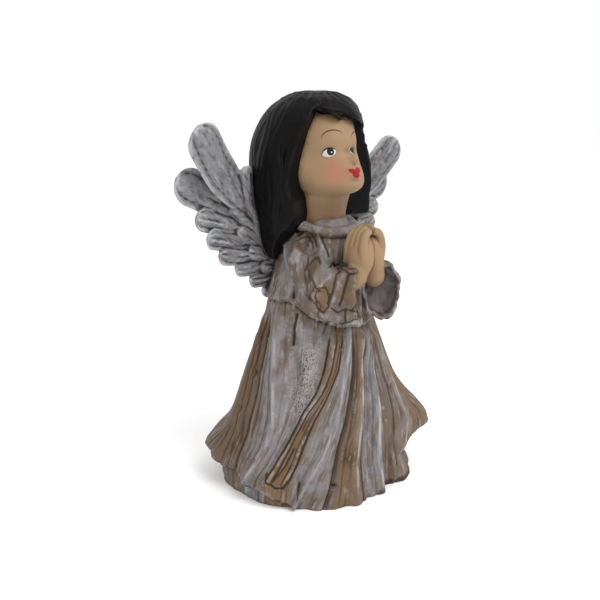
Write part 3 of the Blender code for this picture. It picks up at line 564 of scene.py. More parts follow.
def faceRadius(azimuth, elevation):
    radius = head["radius"] + 0.0 * azimuth
    for a, e, wide, tall, height in head["brushes"] + head["lips"]:
        across = (azimuth - a) * np.cos(np.radians(elevation))
        radius = radius + height * np.exp(-((across / wide) ** 2) - ((elevation - e) / tall) ** 2)
    for (a, e), half in zip(head["eyes"], head["eyeHalf"]):  # the ball of the eye, and the lid above it
        across, rise = (azimuth - a) / half, elevation - e
        ballShape = np.clip(1.0 - across**2 - (rise / 6.4) ** 2, 0, 1)
        radius = radius + 0.75 * np.sqrt(ballShape)
        lid = 5.6 * (1.0 - 0.8 * across**2)
        radius = radius + 0.32 * bell(rise, lid + 1.2, 1) * (np.abs(across) < 1.15)
        radius = radius - 0.22 * bell(rise, lid + 3.4, 0.9) * (np.abs(across) < 0.9)
    return radius


def onFace(azimuth, elevation, lift=0.0):
    radius = faceRadius(azimuth, elevation) + lift
    a, e = np.radians(azimuth + head["turn"]), np.radians(elevation)
    x, y, z = radius * np.sin(a) * np.cos(e), -radius * np.cos(a) * np.cos(e), radius * np.sin(e)
    nod = math.radians(head["nod"])
    return np.stack([x, y * math.cos(nod) + z * math.sin(nod), -y * math.sin(nod) + z * math.cos(nod)],
                    axis=-1) + headCentre


elevation, azimuth = np.meshgrid(np.linspace(-89.5, 89.5, 260), np.linspace(-180, 180, 400, endpoint=False), indexing="ij")
stackBody(onFace(azimuth, elevation), "skin")
neck = [  # path, half-widths, half-depths: the throat, and the nape under the hair
    ([(0, 0.5, 96), (0, -2.4, 104), (0, -2.6, 112), (0, -1.5, 120)], (8.4, 7.8, 7.4, 8.5), (8.4, 7.6, 7.2, 8)),
    ([(0, 1, 97), (0, 1, 104), (0, 1, 108), (0, 0.8, 112), (0, 0.6, 116), (0, 0.4, 121)],
     (12, 11, 11.2, 12.1, 12.6, 12.7), (12, 11, 11.2, 12.1, 12.6, 12.7)),
]
sweepStrands("neck", [strand(*row, (0, 1, 0)) for row in neck], "skin", Sides=64)
collar = []
for side in (-1, 1):
    ring = [(side * 11.4 * math.sin(t), -2.6 - 10.8 * math.cos(t), 103.3 - 2.6 * math.cos(t))
            for t in np.linspace(-0.15, 3.3, 12)]
    collar.append(strand(ring, (2.3, 2.3), (1.9, 1.9), (0, 0, 1)))
sweepStrands("collar", collar, "robe", Sides=32, **{"Groove Count": 1.0, "Groove Depth": 0.2, "Groove Wander": 6.0})
print("head modelled")

# the hair
hair = {
    "out": [(90, 17), (94, 19.4), (98, 20.6), (104, 21), (112, 21.6), (119, 22.8), (128, 22.6), (135, 21),
            (140, 18.6), (145, 15), (148, 11.4), (150, 6.6), (150.6, 1)],
    "right": [(90, -100), (92, -95), (96, -87), (101, -76), (104, -66), (107, -61), (113, -61), (117, -66), (122, -66),
              (130, -61), (137, -54), (141, -48), (144.5, -44), (146, -34)],
    "left": [(90, 104), (98, 97), (102, 84), (105, 66), (110, 60), (116, 58), (122, 56), (130, 50), (136, 44), (139, 34),
             (143, 20)],
    # how far it lies in on the figure's left, by height
    "slim": [(104, 0), (108, 0.8), (111, 1.5), (115, 2.4), (118, 3), (121, 2), (124, 1), (128, 1.9), (130, 2.7),
             (132, 4.6), (135, 4.2), (136.5, 4.6), (138, 3.3), (141, 2.5), (143.5, 1.4), (146, 0.4), (150, 0)],
    # how far it is drawn in beside the face, by height
    "temple": [(118, 0), (124, 0.5), (130, 1), (139, 0.9), (142, 0)],
    # lower edge of the fringe: angle, height
    "fringe": [(-180, 141), (-60, 145), (-44, 144.6), (-30, 143.2), (-10, 142), (10, 141.2), (30, 139.5), (60, 137),
               (180, 137)],
    "lift": 1.1,  # mm, the body between the locks above the table's outline
    "crownLift": 0.35,
    "partings": [(9, 0.55), (22, 0.2)],  # how many half round the crown, depth
    "carving": {"Groove Count": 9.0, "Groove Depth": 0.34, "Groove Wander": 14.0},
    "lockTop": 149.0, "nape": 92.5, "lockHalf": 4.0, "lockThick": 1.6,
    # locks at the sides: (angle, height) from the crown down, half-width, thickness
    "sideLocks": [
        ([(-70, 148), (-60, 142), (-69, 133), (-75, 121), (-70, 111), (-80, 102)], 2.6, 1.2),
        ([(-84, 148), (-76, 142), (-84, 133), (-88, 121), (-86, 108), (-95, 92)], 3, 1.4),
        ([(40, 148), (54, 141), (58, 132), (64, 121), (68, 112), (66, 105)], 2.4, 1),
        ([(-92, 126), (-88, 116), (-87, 106), (-91, 96)], 2.8, 1.7),
        ([(60, 148), (76, 141), (80, 132), (84, 120), (84, 110), (88, 100)], 3, 1.6),
    ],
    # locks of the fringe: angles at start, middle and end, height of the end
    "fringeLocks": [(-46, -34, -8, 142), (-42, -14, 18, 141.2), (-34, 8, 44, 139), (-20, 26, 62, 136.5)],
}


def hairRadius(angle, z):
    outer = readTable(z, hair["out"])
    behind = smoothStep(100, 180, np.abs(angle)) * (1.0 - smoothStep(120, 140, z))
    outer = outer - 3.0 * behind * smoothStep(88, 110, z)
    full = within(z, 100, 108, 138, 146)
    outer = outer + 0.8 * full * smoothStep(75, 95, np.abs(angle))
    outer = outer - readTable(z, hair["slim"]) * bell(angle, 52, 38)
    inner = np.minimum(outer, 9)
    right, left = readTable(z, hair["right"]), readTable(z, hair["left"])
    near = 1.0 - smoothStep(0, 26, np.maximum(right - angle, angle - left))
    outer = outer - near * readTable(z, hair["temple"]) * np.maximum(outer - 18.0, 0)
    share = np.maximum(smoothStep(-2, 3, right - angle), smoothStep(-2, 3, angle - left))
    fringe = readTable(angle, hair["fringe"])
    share = np.maximum(share, smoothStep(-1, 1.6, z - fringe))
    return inner + (outer - inner) * share


def onHair(angle, z, lift=0.0):
    radius = hairRadius(angle, z) + lift
    return np.stack([radius * np.sin(np.radians(angle)), 1.0 - radius * np.cos(np.radians(angle)), z + 0 * radius], axis=-1)


z, angle = np.meshgrid(np.array(list(np.linspace(90, 140, 120)) + list(np.linspace(140.4, 150.5, 40))),
                       np.linspace(-180, 180, 300, endpoint=False), indexing="ij")
crown = smoothStep(144.5, 148, z)
crownPlace = onHair(angle, z, hair["lift"])
crownPlace[..., 2] += hair["crownLift"] * crown
# partings that run together at the crown, wide ones and thin ones
wander = angle + 3.0 * np.sin(np.radians(3.0 * angle))
for count, depth in hair["partings"]:
    crownPlace[..., 2] -= depth * crown * (1.0 - np.abs(np.sin(np.radians(count * wander))))
stackBody(crownPlace, "hair")


def lock(places, half, thick, lift=0.2):
    # one lock lying on the hair, by (angle, height) places from the crown to its end
    places = np.array(places, float)
    path = onHair(places[:, 0], places[:, 1], lift)
    out = path - np.array([0, 1, 122])
    out[:, 2] *= 0.55
    return strand(path, (0.6 * half, half, half, 0.85 * half, 0.25 * half),
                  (thick * 0.55, thick, thick, thick, thick * 0.3), out, 80)


locks = []
for i, a in enumerate(list(np.linspace(-180, -84, 9)) + list(np.linspace(84, 168, 8))):
    sway = (3, -4, 2)[i % 3] * (1.0 if a < 0 else -1.0)
    end = hair["nape"] + (0, 2.5, 1)[i % 3] + (3.0 if abs(a) > 150 else 0.0)
    places = [(a, hair["lockTop"]), (a + sway, 143), (a - sway, 132), (a + sway, 119), (a - sway, 106), (a, end)]
    locks.append(lock(places, hair["lockHalf"], hair["lockThick"]))
locks += [lock(*side) for side in hair["sideLocks"]]
for start, middle, end, low in hair["fringeLocks"]:
    places = [(start, 148.2), (0.5 * (start + middle), 146), (middle, 143.2), (0.5 * (middle + end), 141.3), (end, low)]
    locks.append(lock(places, 2.4, 1))
sweepStrands("locks", locks, "hair", Sides=36, **hair["carving"])
print("hair laid")

# the wings
wings = {
    "armCarving": {"Groove Count": 3.0, "Groove Depth": 0.3, "Groove Wander": 12.0},
    "featherCarving": {"Groove Count": 3.0, "Groove Depth": 0.65, "Groove Wander": 5.0, "Barb Spacing": 3.1,
                       "Barb Slant": 1.6, "Barb Depth": 0.05, "Rib Height": 0.6},
    "covertCarving": {"Groove Count": 2.0, "Groove Depth": 0.65, "Groove Wander": 6.0, "Barb Spacing": 2.7,
                      "Barb Slant": 1.4, "Barb Depth": 0.05, "Rib Height": 0.5},
    "leftFold": 0.135,  # the left wing's height above the elbow is less by this share
    # root, middle and tip of the right wing's feathers, half-width, half-thickness
    "feathers": [
        ((-24, 12.2, 108.6), (-38.6, 8.6, 123.9), (-49.6, 5.3, 138.9), 7.1, 1.9),
        ((-24.5, 12.8, 105.5), (-37.8, 13.8, 113.6), (-53, 14.2, 121.2), 6.8, 1.8),
        ((-24, 12.8, 102), (-35.3, 13, 104.4), (-46.5, 12.6, 107.6), 4.3, 1.8),
        ((-21.6, 12.6, 97.5), (-33.5, 12, 98.2), (-43.1, 11, 100.2), 3.9, 1.7),
        ((-18.5, 12.5, 92.5), (-29.3, 12, 92.2), (-37.8, 11.5, 93.5), 3.8, 1.7),
        ((-14.4, 12.4, 88), (-22.9, 12.2, 86.9), (-30.4, 12, 87.5), 3.4, 1.6),
        ((-10.4, 12.2, 83), (-17.2, 12.2, 81.7), (-23.7, 12.2, 81.8), 3.2, 1.6),
        ((-6.9, 12, 78), (-12.1, 12, 76.7), (-18, 12, 76.9), 2.8, 1.6),
    ],
    # short feathers lying over their roots
    "coverts": [
        ((-20.5, 11, 103), (-24.8, 10, 114.5), (-26.4, 9.2, 124.6), 3.8, 1.9),
        ((-17, 10.6, 99), (-19.6, 10, 111), (-20, 9.4, 121.4), 3.5, 1.9),
        ((-13.5, 10.4, 94), (-15.2, 9.8, 105), (-14.6, 9.2, 114), 3.4, 1.9),
        ((-19, 11.4, 100), (-26, 11.6, 106), (-31.5, 11.8, 112.5), 3.4, 1.7),
        ((-16.5, 11.4, 95.5), (-23.5, 11.4, 98.5), (-29.5, 11.2, 101.5), 3.2, 1.7),
        ((-13.5, 11.2, 90), (-19.8, 11, 92), (-25, 10.8, 93.6), 3, 1.7),
        ((-10, 11, 84.5), (-14.8, 11, 86.2), (-19.2, 11, 87.2), 2.8, 1.7),
    ],
    "arm": [(-6, 11.4, 72.5), (-8.6, 11.6, 80.5), (-12.6, 11.8, 88.5), (-17.6, 12, 96), (-20.8, 12, 104), (-22, 11.6, 112)],
}


def onWing(point, left):
    # a point of the right wing, or of the left one, which is a little more folded
    x, y, z = point
    return (-x, y, z - wings["leftFold"] * max(z - 82.0, 0)) if left else (x, y, z)


def feather(places, half, thick, left, levels=110):
    path = [onWing(place, left) for place in places]
    length = sum(math.dist(path[i], path[i + 1]) for i in (0, 1))
    t = np.linspace(0, 1, levels)
    fromTip = (1.0 - t) * length
    blunt = np.sqrt(np.clip(1.0 - (1.0 - np.minimum(fromTip / (0.95 * half), 1)) ** 2, 0.02, 1))
    wide = half * blunt * (0.62 + 0.38 * smoothStep(0, 0.45, t))
    deep = thick * (0.35 + 0.65 * blunt) * (1.0 - 0.3 * t)
    return strand(path, wide, deep, (0, -1, 0), levels)


arms, longFeathers, shortFeathers = [], [], []
for left in (False, True):
    arms.append(strand([onWing(p, left) for p in wings["arm"]], (3, 3.4, 4, 4.6, 4.8, 3.2), (2.6, 2.7, 2.7, 2.7, 2.5, 1.8),
                       (0, -1, 0)))
    longFeathers += [feather(places, half, thick, left) for *places, half, thick in wings["feathers"]]
    shortFeathers += [feather(places, half, thick, left) for *places, half, thick in wings["coverts"]]
sweepStrands("wingArms", arms, "wing", Sides=32, **wings["armCarving"])
sweepStrands("feathers", longFeathers, "wing", Sides=64, **wings["featherCarving"])
sweepStrands("coverts", shortFeathers, "wing", Sides=48, **wings["covertCarving"])
print("wings feathered")


# sleeves and hands, written for the figure's left side and mirrored for its right
sleeves = {
    # centre, half-width, reach up and reach down, from the shoulder to the mouth
    "sections": [((9.5, -1, 96.5), 5.6, 5.6, 5.6), ((13, -5, 91.5), 6.2, 6.4, 6.4), ((13.8, -10.2, 85), 6.2, 7.2, 8),
                 ((13.8, -15.8, 81.6), 6.6, 8.2, 10), ((11.2, -20.4, 81.2), 7, 8.6, 11.4),
                 ((8.6, -24.3, 81.3), 7.3, 9, 12.2), ((6.4, -27.4, 81.5), 7.4, 9.2, 12.8)],
    "hollow": 6.0,  # mm deep inside the mouth
    "rim": 0.16,  # share of the mouth that is cloth
}
hands = {
    "forearm": [(14, -12, 82), (10.5, -18, 83), (5.6, -24.2, 85), (3.4, -25.2, 90)],
    "thumb": [(3.2, -21, 90), (2.8, -19.2, 95), (1, -19.2, 99.5)],
    "fingerTop": 104.4, "fingerBack": -20.4, "fingerStep": 2.7, "tipStep": 1.75,
    "palms": [((-2.5, -24.6, 94), (4.3, 5.6, 8.4), (-6, 6, 0)), ((2.6, -24.9, 93), (4.1, 5.4, 8.4), (-6, -6, 0))],
}


def sleeveRows(sections, levels=70, sides=140):
    # rings given as centre, half-width, reach up and reach down, square to the way they run
    centres = curveThrough([s[0] for s in sections], levels)
    t = np.linspace(0, len(sections) - 1, levels)
    half, high, low = (np.interp(t, range(len(sections)), [s[k] for s in sections]) for k in (1, 2, 3))
    way = np.gradient(centres, axis=0)
    way /= np.linalg.norm(way, axis=1)[:, None]
    across = np.cross(way, (0, 0, 1))
    across /= np.linalg.norm(across, axis=1)[:, None]
    up = np.cross(across, way)
    turn = np.linspace(0, 2 * math.pi, sides, endpoint=False)[None, :]
    reach = np.where(np.sin(turn) > 0, high[:, None], low[:, None]) * np.sin(turn)
    # creases that run down the sleeve to its mouth, and the grain
    u = turn / (2 * math.pi)
    crease = grainNoise(u * 16, t[:, None] / 2.6, 31, 16) - 0.5
    grain = smoothStep(0.55, 0.8, grainNoise(u * 64, t[:, None] / 2.2, 33, 64))
    swell = 1.0 + (0.16 * crease - 0.035 * grain) * smoothStep(0.5, 2, t)[:, None]
    return centres[:, None, :] + (np.cos(turn) * half[:, None] * swell)[..., None] * across[:, None, :] \
        + (reach * swell)[..., None] * up[:, None, :]


def recessed(rows, depth, rim):
    # close the last ring with a rim and a hollow, as a sleeve's mouth has
    last = rows[-1]
    centre = last.mean(axis=0)
    way = centre - rows[-4].mean(axis=0)
    way /= np.linalg.norm(way)
    inner = centre + (last - centre) * (1.0 - rim)
    lip = 0.5 * (last + inner) + way * 0.5
    return np.concatenate([rows, [lip, inner, inner - way * depth * 0.6,
                                  centre + (last - centre) * (1.0 - rim) * 0.7 - way * depth]])


forearms, fingers = [], []
for s in (-1, 1):
    rows = sleeveRows([((s * x, y, z), *sizes) for (x, y, z), *sizes in sleeves["sections"]])
    stackBody(recessed(carveStrokes(rows), sleeves["hollow"], sleeves["rim"]), "robe")
    forearms.append(strand([(s * x, y, z) for x, y, z in hands["forearm"]], (3.9, 3.9, 3.7, 4), (3.8, 3.8, 3.5, 4.2),
                           (0, 0, 1)))
    for i in range(4):
        y, top = hands["fingerBack"] - hands["fingerStep"] * i, hands["fingerTop"] - 1.1 * abs(i - 1.4)
        near = -22.4 - hands["tipStep"] * i  # the fingers draw together towards their tips
        fingers.append(strand([(s * 4.3, y + 0.5, 91), (s * 4.7, 0.7 * y + 0.3 * near, 97.4),
                               (s * 3.3, 0.3 * y + 0.7 * near, 101.6),
                               (s * 0.8, near, top)], (1.5, 1.6, 1.55, 1.3), (1.4, 1.5, 1.5, 1.2), (0, 1, 0)))
    fingers.append(strand([(s * x, y, z) for x, y, z in hands["thumb"]], (1.8, 1.7, 1.2), (1.8, 1.7, 1.2), (0, 1, 0)))
sweepStrands("forearms", forearms, "skin", Sides=32)
sweepStrands("fingers", fingers, "skin", Sides=20)
for centre, radii, tilt in hands["palms"]:
    ball(centre, radii, "skin", tilt)
print("sleeves and hands modelled")


# one casting: fuse, ease, thin, cut flat on the table
def meshObject(name, points, faces):
    mesh = bpy.data.meshes.new(name)
    mesh.from_pydata(np.asarray(points).tolist(), [], faces)
    mesh.update()
    made = bpy.data.objects.new(name, mesh)
    bpy.context.collection.objects.link(made)
    return made


def readPoints(mesh):
    co = np.zeros(len(mesh.vertices) * 3)
    mesh.vertices.foreach_get("co", co)
    return co.reshape(-1, 3)


allPoints, allFaces, start = [], [], 0
for points, faces, zone in forms:
    allPoints.append(points)
    allFaces += [[start + k for k in face] for face in faces]
    start += len(points)
rough = meshObject("angelForms", np.vstack(allPoints), allFaces)
fuse = rough.modifiers.new("Fuse", "REMESH")
fuse.mode = "VOXEL"
fuse.voxel_size = cast["voxel"]
ease = rough.modifiers.new("Ease", "SMOOTH")
ease.factor = cast["easeFactor"]
ease.iterations = 1
fused = bpy.data.meshes.new_from_object(rough.evaluated_get(bpy.context.evaluated_depsgraph_get()))
print("fused: %d faces" % len(fused.polygons))

# how far each point lies below its surroundings, near and wide: where washes settle and dry brushing catches, and where
# broad hollows get painted shade
densePoints = readPoints(fused)
edgePairs = np.zeros(len(fused.edges) * 2, int)
fused.edges.foreach_get("vertices", edgePairs)
edgePairs = edgePairs.reshape(-1, 2)
neighbours = np.bincount(edgePairs.ravel(), minlength=len(densePoints)).clip(1)
denseNormals = np.zeros(len(densePoints) * 3)
fused.vertices.foreach_get("normal", denseNormals)
denseNormals = denseNormals.reshape(-1, 3)


def smoothed(values, rounds):
    for _ in range(rounds):
        total = [np.bincount(edgePairs[:, 0], values[edgePairs[:, 1], k], len(values))
                 + np.bincount(edgePairs[:, 1], values[edgePairs[:, 0], k], len(values)) for k in range(values.shape[1])]
        values = np.stack(total, axis=1) / neighbours[:, None]
    return values


# the jaw runs softly into the neck
jawAngle = np.abs(np.degrees(np.arctan2(densePoints[:, 0], -densePoints[:, 1])))
jawHeight, jawRadius = densePoints[:, 2], np.hypot(densePoints[:, 0], densePoints[:, 1])
easing = within(jawHeight, 105.5, 107.5, 114, 118.5)
easing = easing * (1.0 - smoothStep(50, 62, jawAngle)) * (1.0 - smoothStep(18.5, 20.5, jawRadius))
densePoints = densePoints + easing[:, None] * (smoothed(densePoints, cast["jawRounds"]) - densePoints)
fused.vertices.foreach_set("co", densePoints.astype(np.float32).ravel())
fused.update()

nearSurface = smoothed(densePoints, cast["nearRounds"])
wideSurface = smoothed(nearSurface, cast["wideRounds"])
crevice = ((nearSurface - densePoints) * denseNormals).sum(axis=1)
hollow = ((wideSurface - densePoints) * denseNormals).sum(axis=1)
crevice, hollow = smoothed(np.stack([crevice, hollow], axis=1), 1).T
tree = KDTree(len(densePoints))
for i, point in enumerate(densePoints):
    tree.insert(point, i)
tree.balance()

rough.modifiers.clear()
rough.data = fused
thin = rough.modifiers.new("Thin", "DECIMATE")
thin.ratio = cast["triangles"] / (2.0 * len(fused.polygons))
thin.use_collapse_triangulate = True
body = bmesh.new()
body.from_mesh(bpy.data.meshes.new_from_object(rough.evaluated_get(bpy.context.evaluated_depsgraph_get())))
bpy.data.objects.remove(rough, do_unlink=True)
bmesh.ops.bisect_plane(body, geom=body.verts[:] + body.edges[:] + body.faces[:], plane_co=(0, 0, 0), plane_no=(0, 0, 1),
                       clear_inner=True)
bmesh.ops.contextual_create(body, geom=[e for e in body.edges if e.is_boundary])
bmesh.ops.dissolve_degenerate(body, dist=1e-4, edges=body.edges[:])
bmesh.ops.triangulate(body, faces=body.faces[:])
bmesh.ops.recalc_face_normals(body, faces=body.faces[:])
figureMesh = bpy.data.meshes.new("angel_figure_cast")
body.to_mesh(figureMesh)
openEdges = sum(1 for e in body.edges if e.is_boundary)
body.free()
points = readPoints(figureMesh)
print("thinned: %d triangles, open edges %d" % (len(figureMesh.polygons), openEdges))


# what each point is painted as
def addAttribute(name, values):
    kind = "FLOAT" if values.ndim == 1 else "FLOAT_VECTOR"
    key = "value" if values.ndim == 1 else "vector"
    figureMesh.attributes.new(name, kind, "POINT").data.foreach_set(key, values.astype(np.float32).ravel())


nearest = np.array([tree.find(point)[1] for point in points])
addAttribute("crevice", crevice[nearest])
addAttribute("hollow", hollow[nearest])
distances = []
for zone in ("robe", "skin", "hair", "wing"):
    zonePoints, zoneFaces, start = [], [], 0
    for formPoints, faces, formZone in forms:
        if formZone == zone:
            zonePoints += formPoints.tolist()
            zoneFaces += [[start + k for k in face] for face in faces]
            start += len(formPoints)
    surface = BVHTree.FromPolygons(zonePoints, zoneFaces)
    distances.append([surface.find_nearest(point)[3] for point in points])
distances = np.array(distances)
for k, name in ((1, "skinShare"), (2, "hairShare"), (3, "wingShare")):
    others = np.delete(distances, k, axis=0).min(axis=0)
    addAttribute(name, np.clip(0.5 + (others - distances[k]) / cast["paintEdge"], 0, 1))
figureAngle = np.degrees(np.arctan2(points[:, 0], -(points[:, 1] - robeShift(points[:, 2]))))
pale, dark, wood, panel, grey, ochre = robePaint(figureAngle, points[:, 2].copy())
onSkirt = 1.0 - smoothStep(64, 68, points[:, 2])
pale, dark, ochre, grey = pale * onSkirt, dark * onSkirt, ochre * onSkirt, 0.5 + (grey - 0.5) * onSkirt
wood = np.maximum(wood * onSkirt, 0.8 * bell(figureAngle, -24, 12) * bell(points[:, 2], 82, 7))
figureRadius = np.hypot(points[:, 0], points[:, 1] - robeShift(points[:, 2]))
for places, half, height, paint, strength in strokes:
    line = strength * strokeNear(places, half * 1.1, figureAngle, points[:, 2], figureRadius)
    zoneOf = {"pale": pale, "dark": dark, "wood": wood, "ochre": ochre}[paint]
    np.maximum(zoneOf, line, out=zoneOf)
# the edge of every hem is darker, and so is the foot of the skirt on the table
hemHeight = readTable(angleGap(figureAngle, 0), robe["hem"])
rim = bell(points[:, 2] - hemHeight, 0.1, 0.9) * (hemHeight > 0.0)
rim = np.maximum(rim, bell(points[:, 2], 0.6, 1.2) * 0.5)
rim = np.maximum(rim, bell(points[:, 2], 0.6, 2.2) * within(figureAngle, -5, 12, 45, 60))
dark = np.maximum(dark, 0.9 * rim)
collarBand = bell(points[:, 2], 104, 3.2) * (figureRadius < 16.0)
pale = np.maximum(pale, 0.9 * collarBand)
mouth = smoothStep(14, 20, figureAngle) * bell(points[:, 2], 80, 10) * smoothStep(19, 22, figureRadius)
pale = np.maximum(pale, 0.8 * mouth)
wingSide, wingHigh = np.abs(points[:, 0]) - 4.0, points[:, 2] - 84.0
addAttribute("wingPlace", np.stack([26.0 * np.arctan2(wingHigh, wingSide), 0.16 * np.hypot(wingSide, wingHigh),
                                    points[:, 1] * 0.6], axis=1))
flow, stretch = flowAngle(figureAngle, points[:, 2].copy())
span = figureRadius * np.radians(stretch)  # mm here for one degree of flow
for name, values in (("calm", np.maximum(collarBand, mouth)), ("pale", pale), ("dark", dark), ("wood", wood),
                     ("ochre", ochre), ("panel", panel), ("grey", grey), ("flow", flow), ("flowSpan", span)):
    addAttribute(name, values)
flow = np.radians(flow)
addAttribute("grainPlace", np.stack([28.0 * np.sin(flow), 28.0 * np.cos(flow), points[:, 2]], axis=1))
figureMesh.transform(Matrix.Scale(0.001, 4))
figureMesh.shade_smooth()
figure = bpy.data.objects.new("angel_figure_cast", figureMesh)
bpy.context.collection.objects.link(figure)
figureMesh.materials.append(resin)
print("painted zones marked")


# the paint
def linear(text):
    # an sRGB hex colour as Blender's linear one
    parts = [int(text[i:i + 2], 16) / 255.0 for i in (1, 3, 5)]
    return tuple(c / 12.92 if c <= 0.04045 else ((c + 0.055) / 1.055) ** 2.4 for c in parts) + (1,)


paints = {  # acrylic colours as they look in the pot, sRGB
    "robeBrown": "#63564a", "robePale": "#7b7779", "robeWood": "#5c4735", "robeGrey": "#625d5d", "robeWash": "#281b13",
    "robeBrush": "#a09c9e",
    "robeOchre": "#785a36", "wingGrey": "#777779", "wingDark": "#58585a", "wingWashAndShade": "#272422", "wingBrush": "#a9aaac",
    "hairBlack": "#0a090a", "hairPaintedSheen": "#151214", "skin": "#90765a", "skinPaintedShade": "#5c4129", "blush": "#9d5643",
    "lips": "#8a141b", "eyeWhite": "#bcb8b3", "iris": "#0f141c", "lash": "#1b100c",
}
resin.use_nodes = True
paintTree = resin.node_tree
paintTree.nodes.clear()
node = partial(addNode, paintTree)
objectPlace = node("ShaderNodeTexCoord").outputs["Object"]
inMillimetres = node("ShaderNodeMapping", {"Vector": objectPlace, "Scale": (1000, 1000, 1000)})
marks = {name: node("ShaderNodeAttribute", attribute_name=name).outputs["Fac"] for name in (
    "crevice", "hollow", "pale", "dark", "wood", "ochre", "grey", "panel", "calm", "flow", "flowSpan", "skinShare",
    "hairShare", "wingShare")}
grainPlace = node("ShaderNodeAttribute", attribute_name="grainPlace").outputs["Vector"]
wingPlace = node("ShaderNodeAttribute", attribute_name="wingPlace").outputs["Vector"]


def coat(share, below, above, strength=1.0):
    # one coat of paint over another: where it goes, what is under it, what it is, and how strongly it covers
    mixed = node("ShaderNodeMix", {"Factor": node("MULTIPLY", share, strength)}, data_type="RGBA")
    for key, value in ((6, below), (7, above)):
        if isinstance(value, str):
            mixed.inputs[key].default_value = linear(paints[value])
        else:
            paintTree.links.new(value, mixed.inputs[key])
    return mixed.outputs[2]


def mottle(place, size, detail=3.0, stretch=(1, 1, 1)):
    # noise with spots of about this size in mm; brush hairs and pits are finer than the render shows, so they are
    # drawn coarser
    place = node("ShaderNodeMapping", {"Vector": place, "Scale": stretch})
    return node("ShaderNodeTexNoise", {"Vector": place, "Scale": 1.0 / size, "Detail": detail}).outputs["Fac"]


creviceAt, hollowAt = marks["crevice"], marks["hollow"]
woodAt, panelAt = marks["wood"], marks["panel"]

# robe: brown base coat, lavender grey brushed along the folds, dark wash in every cut and painted shade in the broad
# hollows, pale dry brushing on the edges
streaks = mottle(grainPlace, 3.4, 3, (1, 1, 0.12))
fineStreaks = mottle(grainPlace, 0.75, 3, (1, 1, 0.07))
scratches = mottle(grainPlace, 1.5, 4, (1, 1, 0.1))
smudges = mottle(grainPlace, 3, 5, (1, 1, 0.32))
cloudy = mottle(inMillimetres, 8, 4)
patches = mottle(inMillimetres, 2.4, 4)
speck = mottle(inMillimetres, 0.55, 2)
paleShare = node("ADD", node("MULTIPLY", marks["pale"], 0.7), node("MULTIPLY", node("SUBTRACT", marks["grey"], 0.28), 1.2))
paleShare = node("ADD", paleShare, node("MULTIPLY", node("SUBTRACT", streaks, 0.42), 1.1))
paleShare = node("ADD", paleShare, node("MULTIPLY", node("SUBTRACT", cloudy, 0.5), 3))
paleShare = node("SUBTRACT", paleShare, node("MULTIPLY", woodAt, 0.6))
robeColour = coat(node("ramp", paleShare, 0, 1), "robeBrown", "robePale")
robeColour = coat(node("ramp", smudges, 0.51, 0.62), robeColour, "robeBrown", 0.75)
robeColour = coat(node("ramp", smudges, 0.47, 0.37), robeColour, "robeGrey", 0.6)
robeColour = coat(node("ramp", woodAt, 0.2, 0.9), robeColour, "robeWood", 0.7)
robeColour = coat(node("ramp", patches, 0.54, 0.72), robeColour, "robeWood", 0.35)
robeColour = coat(node("MAXIMUM", node("MULTIPLY", node("ramp", cloudy, 0.56, 0.7), 0.35),
                       node("MULTIPLY", marks["ochre"], 0.8)),
                  robeColour, "robeOchre")
robeColour = coat(panelAt, robeColour, "robeBrush", 0.5)
robeColour = coat(node("MULTIPLY", node("ramp", speck, 0.5, 0.62), panelAt), robeColour, "robeWash", 0.8)
lively = node("SUBTRACT", 1, marks["calm"])
woody = node("ADD", 0.42, node("MULTIPLY", woodAt, 0.4))
robeColour = coat(node("MULTIPLY", node("MULTIPLY", node("ramp", scratches, 0.52, 0.66), woody), lively), robeColour,
                  "robeWash")
brushed = node("MULTIPLY", node("ramp", node("SUBTRACT", 1, fineStreaks), 0.5, 0.68),
               node("MULTIPLY", node("ramp", patches, 0.4, 0.6), 0.5))
brushed = node("MULTIPLY", brushed, node("SUBTRACT", 1, node("MULTIPLY", woodAt, 0.8)))
robeColour = coat(node("MULTIPLY", brushed, lively), robeColour, "robeBrush")
# dark wash in the cuts, and painted shade deepening in the broad hollows
washAndShadeShare = node("MAXIMUM", node("ramp", creviceAt, 0.05, 0.2), node("MULTIPLY", node("ramp", hollowAt, 0.2, 0.9), 0.42))
washAndShadeShare = node("MULTIPLY", washAndShadeShare, node("SUBTRACT", 1, node("MULTIPLY", marks["calm"], 0.5)))
washAndShadeShare = node("MAXIMUM", washAndShadeShare, node("MULTIPLY", node("ramp", marks["dark"], 0.3, 0.85), 0.9))
# the cuts are inked in with a thin brush: a line at one value of the flow, over the heights its fold covers
flowAt, spanAt = marks["flow"], marks["flowSpan"]
heightAt = node("ShaderNodeSeparateXYZ", {"Vector": inMillimetres}).outputs["Z"]
for path, shift, half, depth, strength in cuts:
    off = node("MULTIPLY", node("ABSOLUTE", node("SUBTRACT", flowAt, cutFlow(path, shift))), spanAt)
    ink = node("MULTIPLY", node("ramp", off, half * 1.25, half * 0.6),
               node("ramp", heightAt, min(p[0] for p in path) - 1.0, min(p[0] for p in path) + 2.0))
    ink = node("MULTIPLY", ink, node("ramp", heightAt, max(p[0] for p in path) + 1.0, max(p[0] for p in path) - 3.0))
    washAndShadeShare = node("MAXIMUM", washAndShadeShare, node("MULTIPLY", node("MULTIPLY", ink, strength),
                                                node("ramp", patches, 0.22, 0.42)))
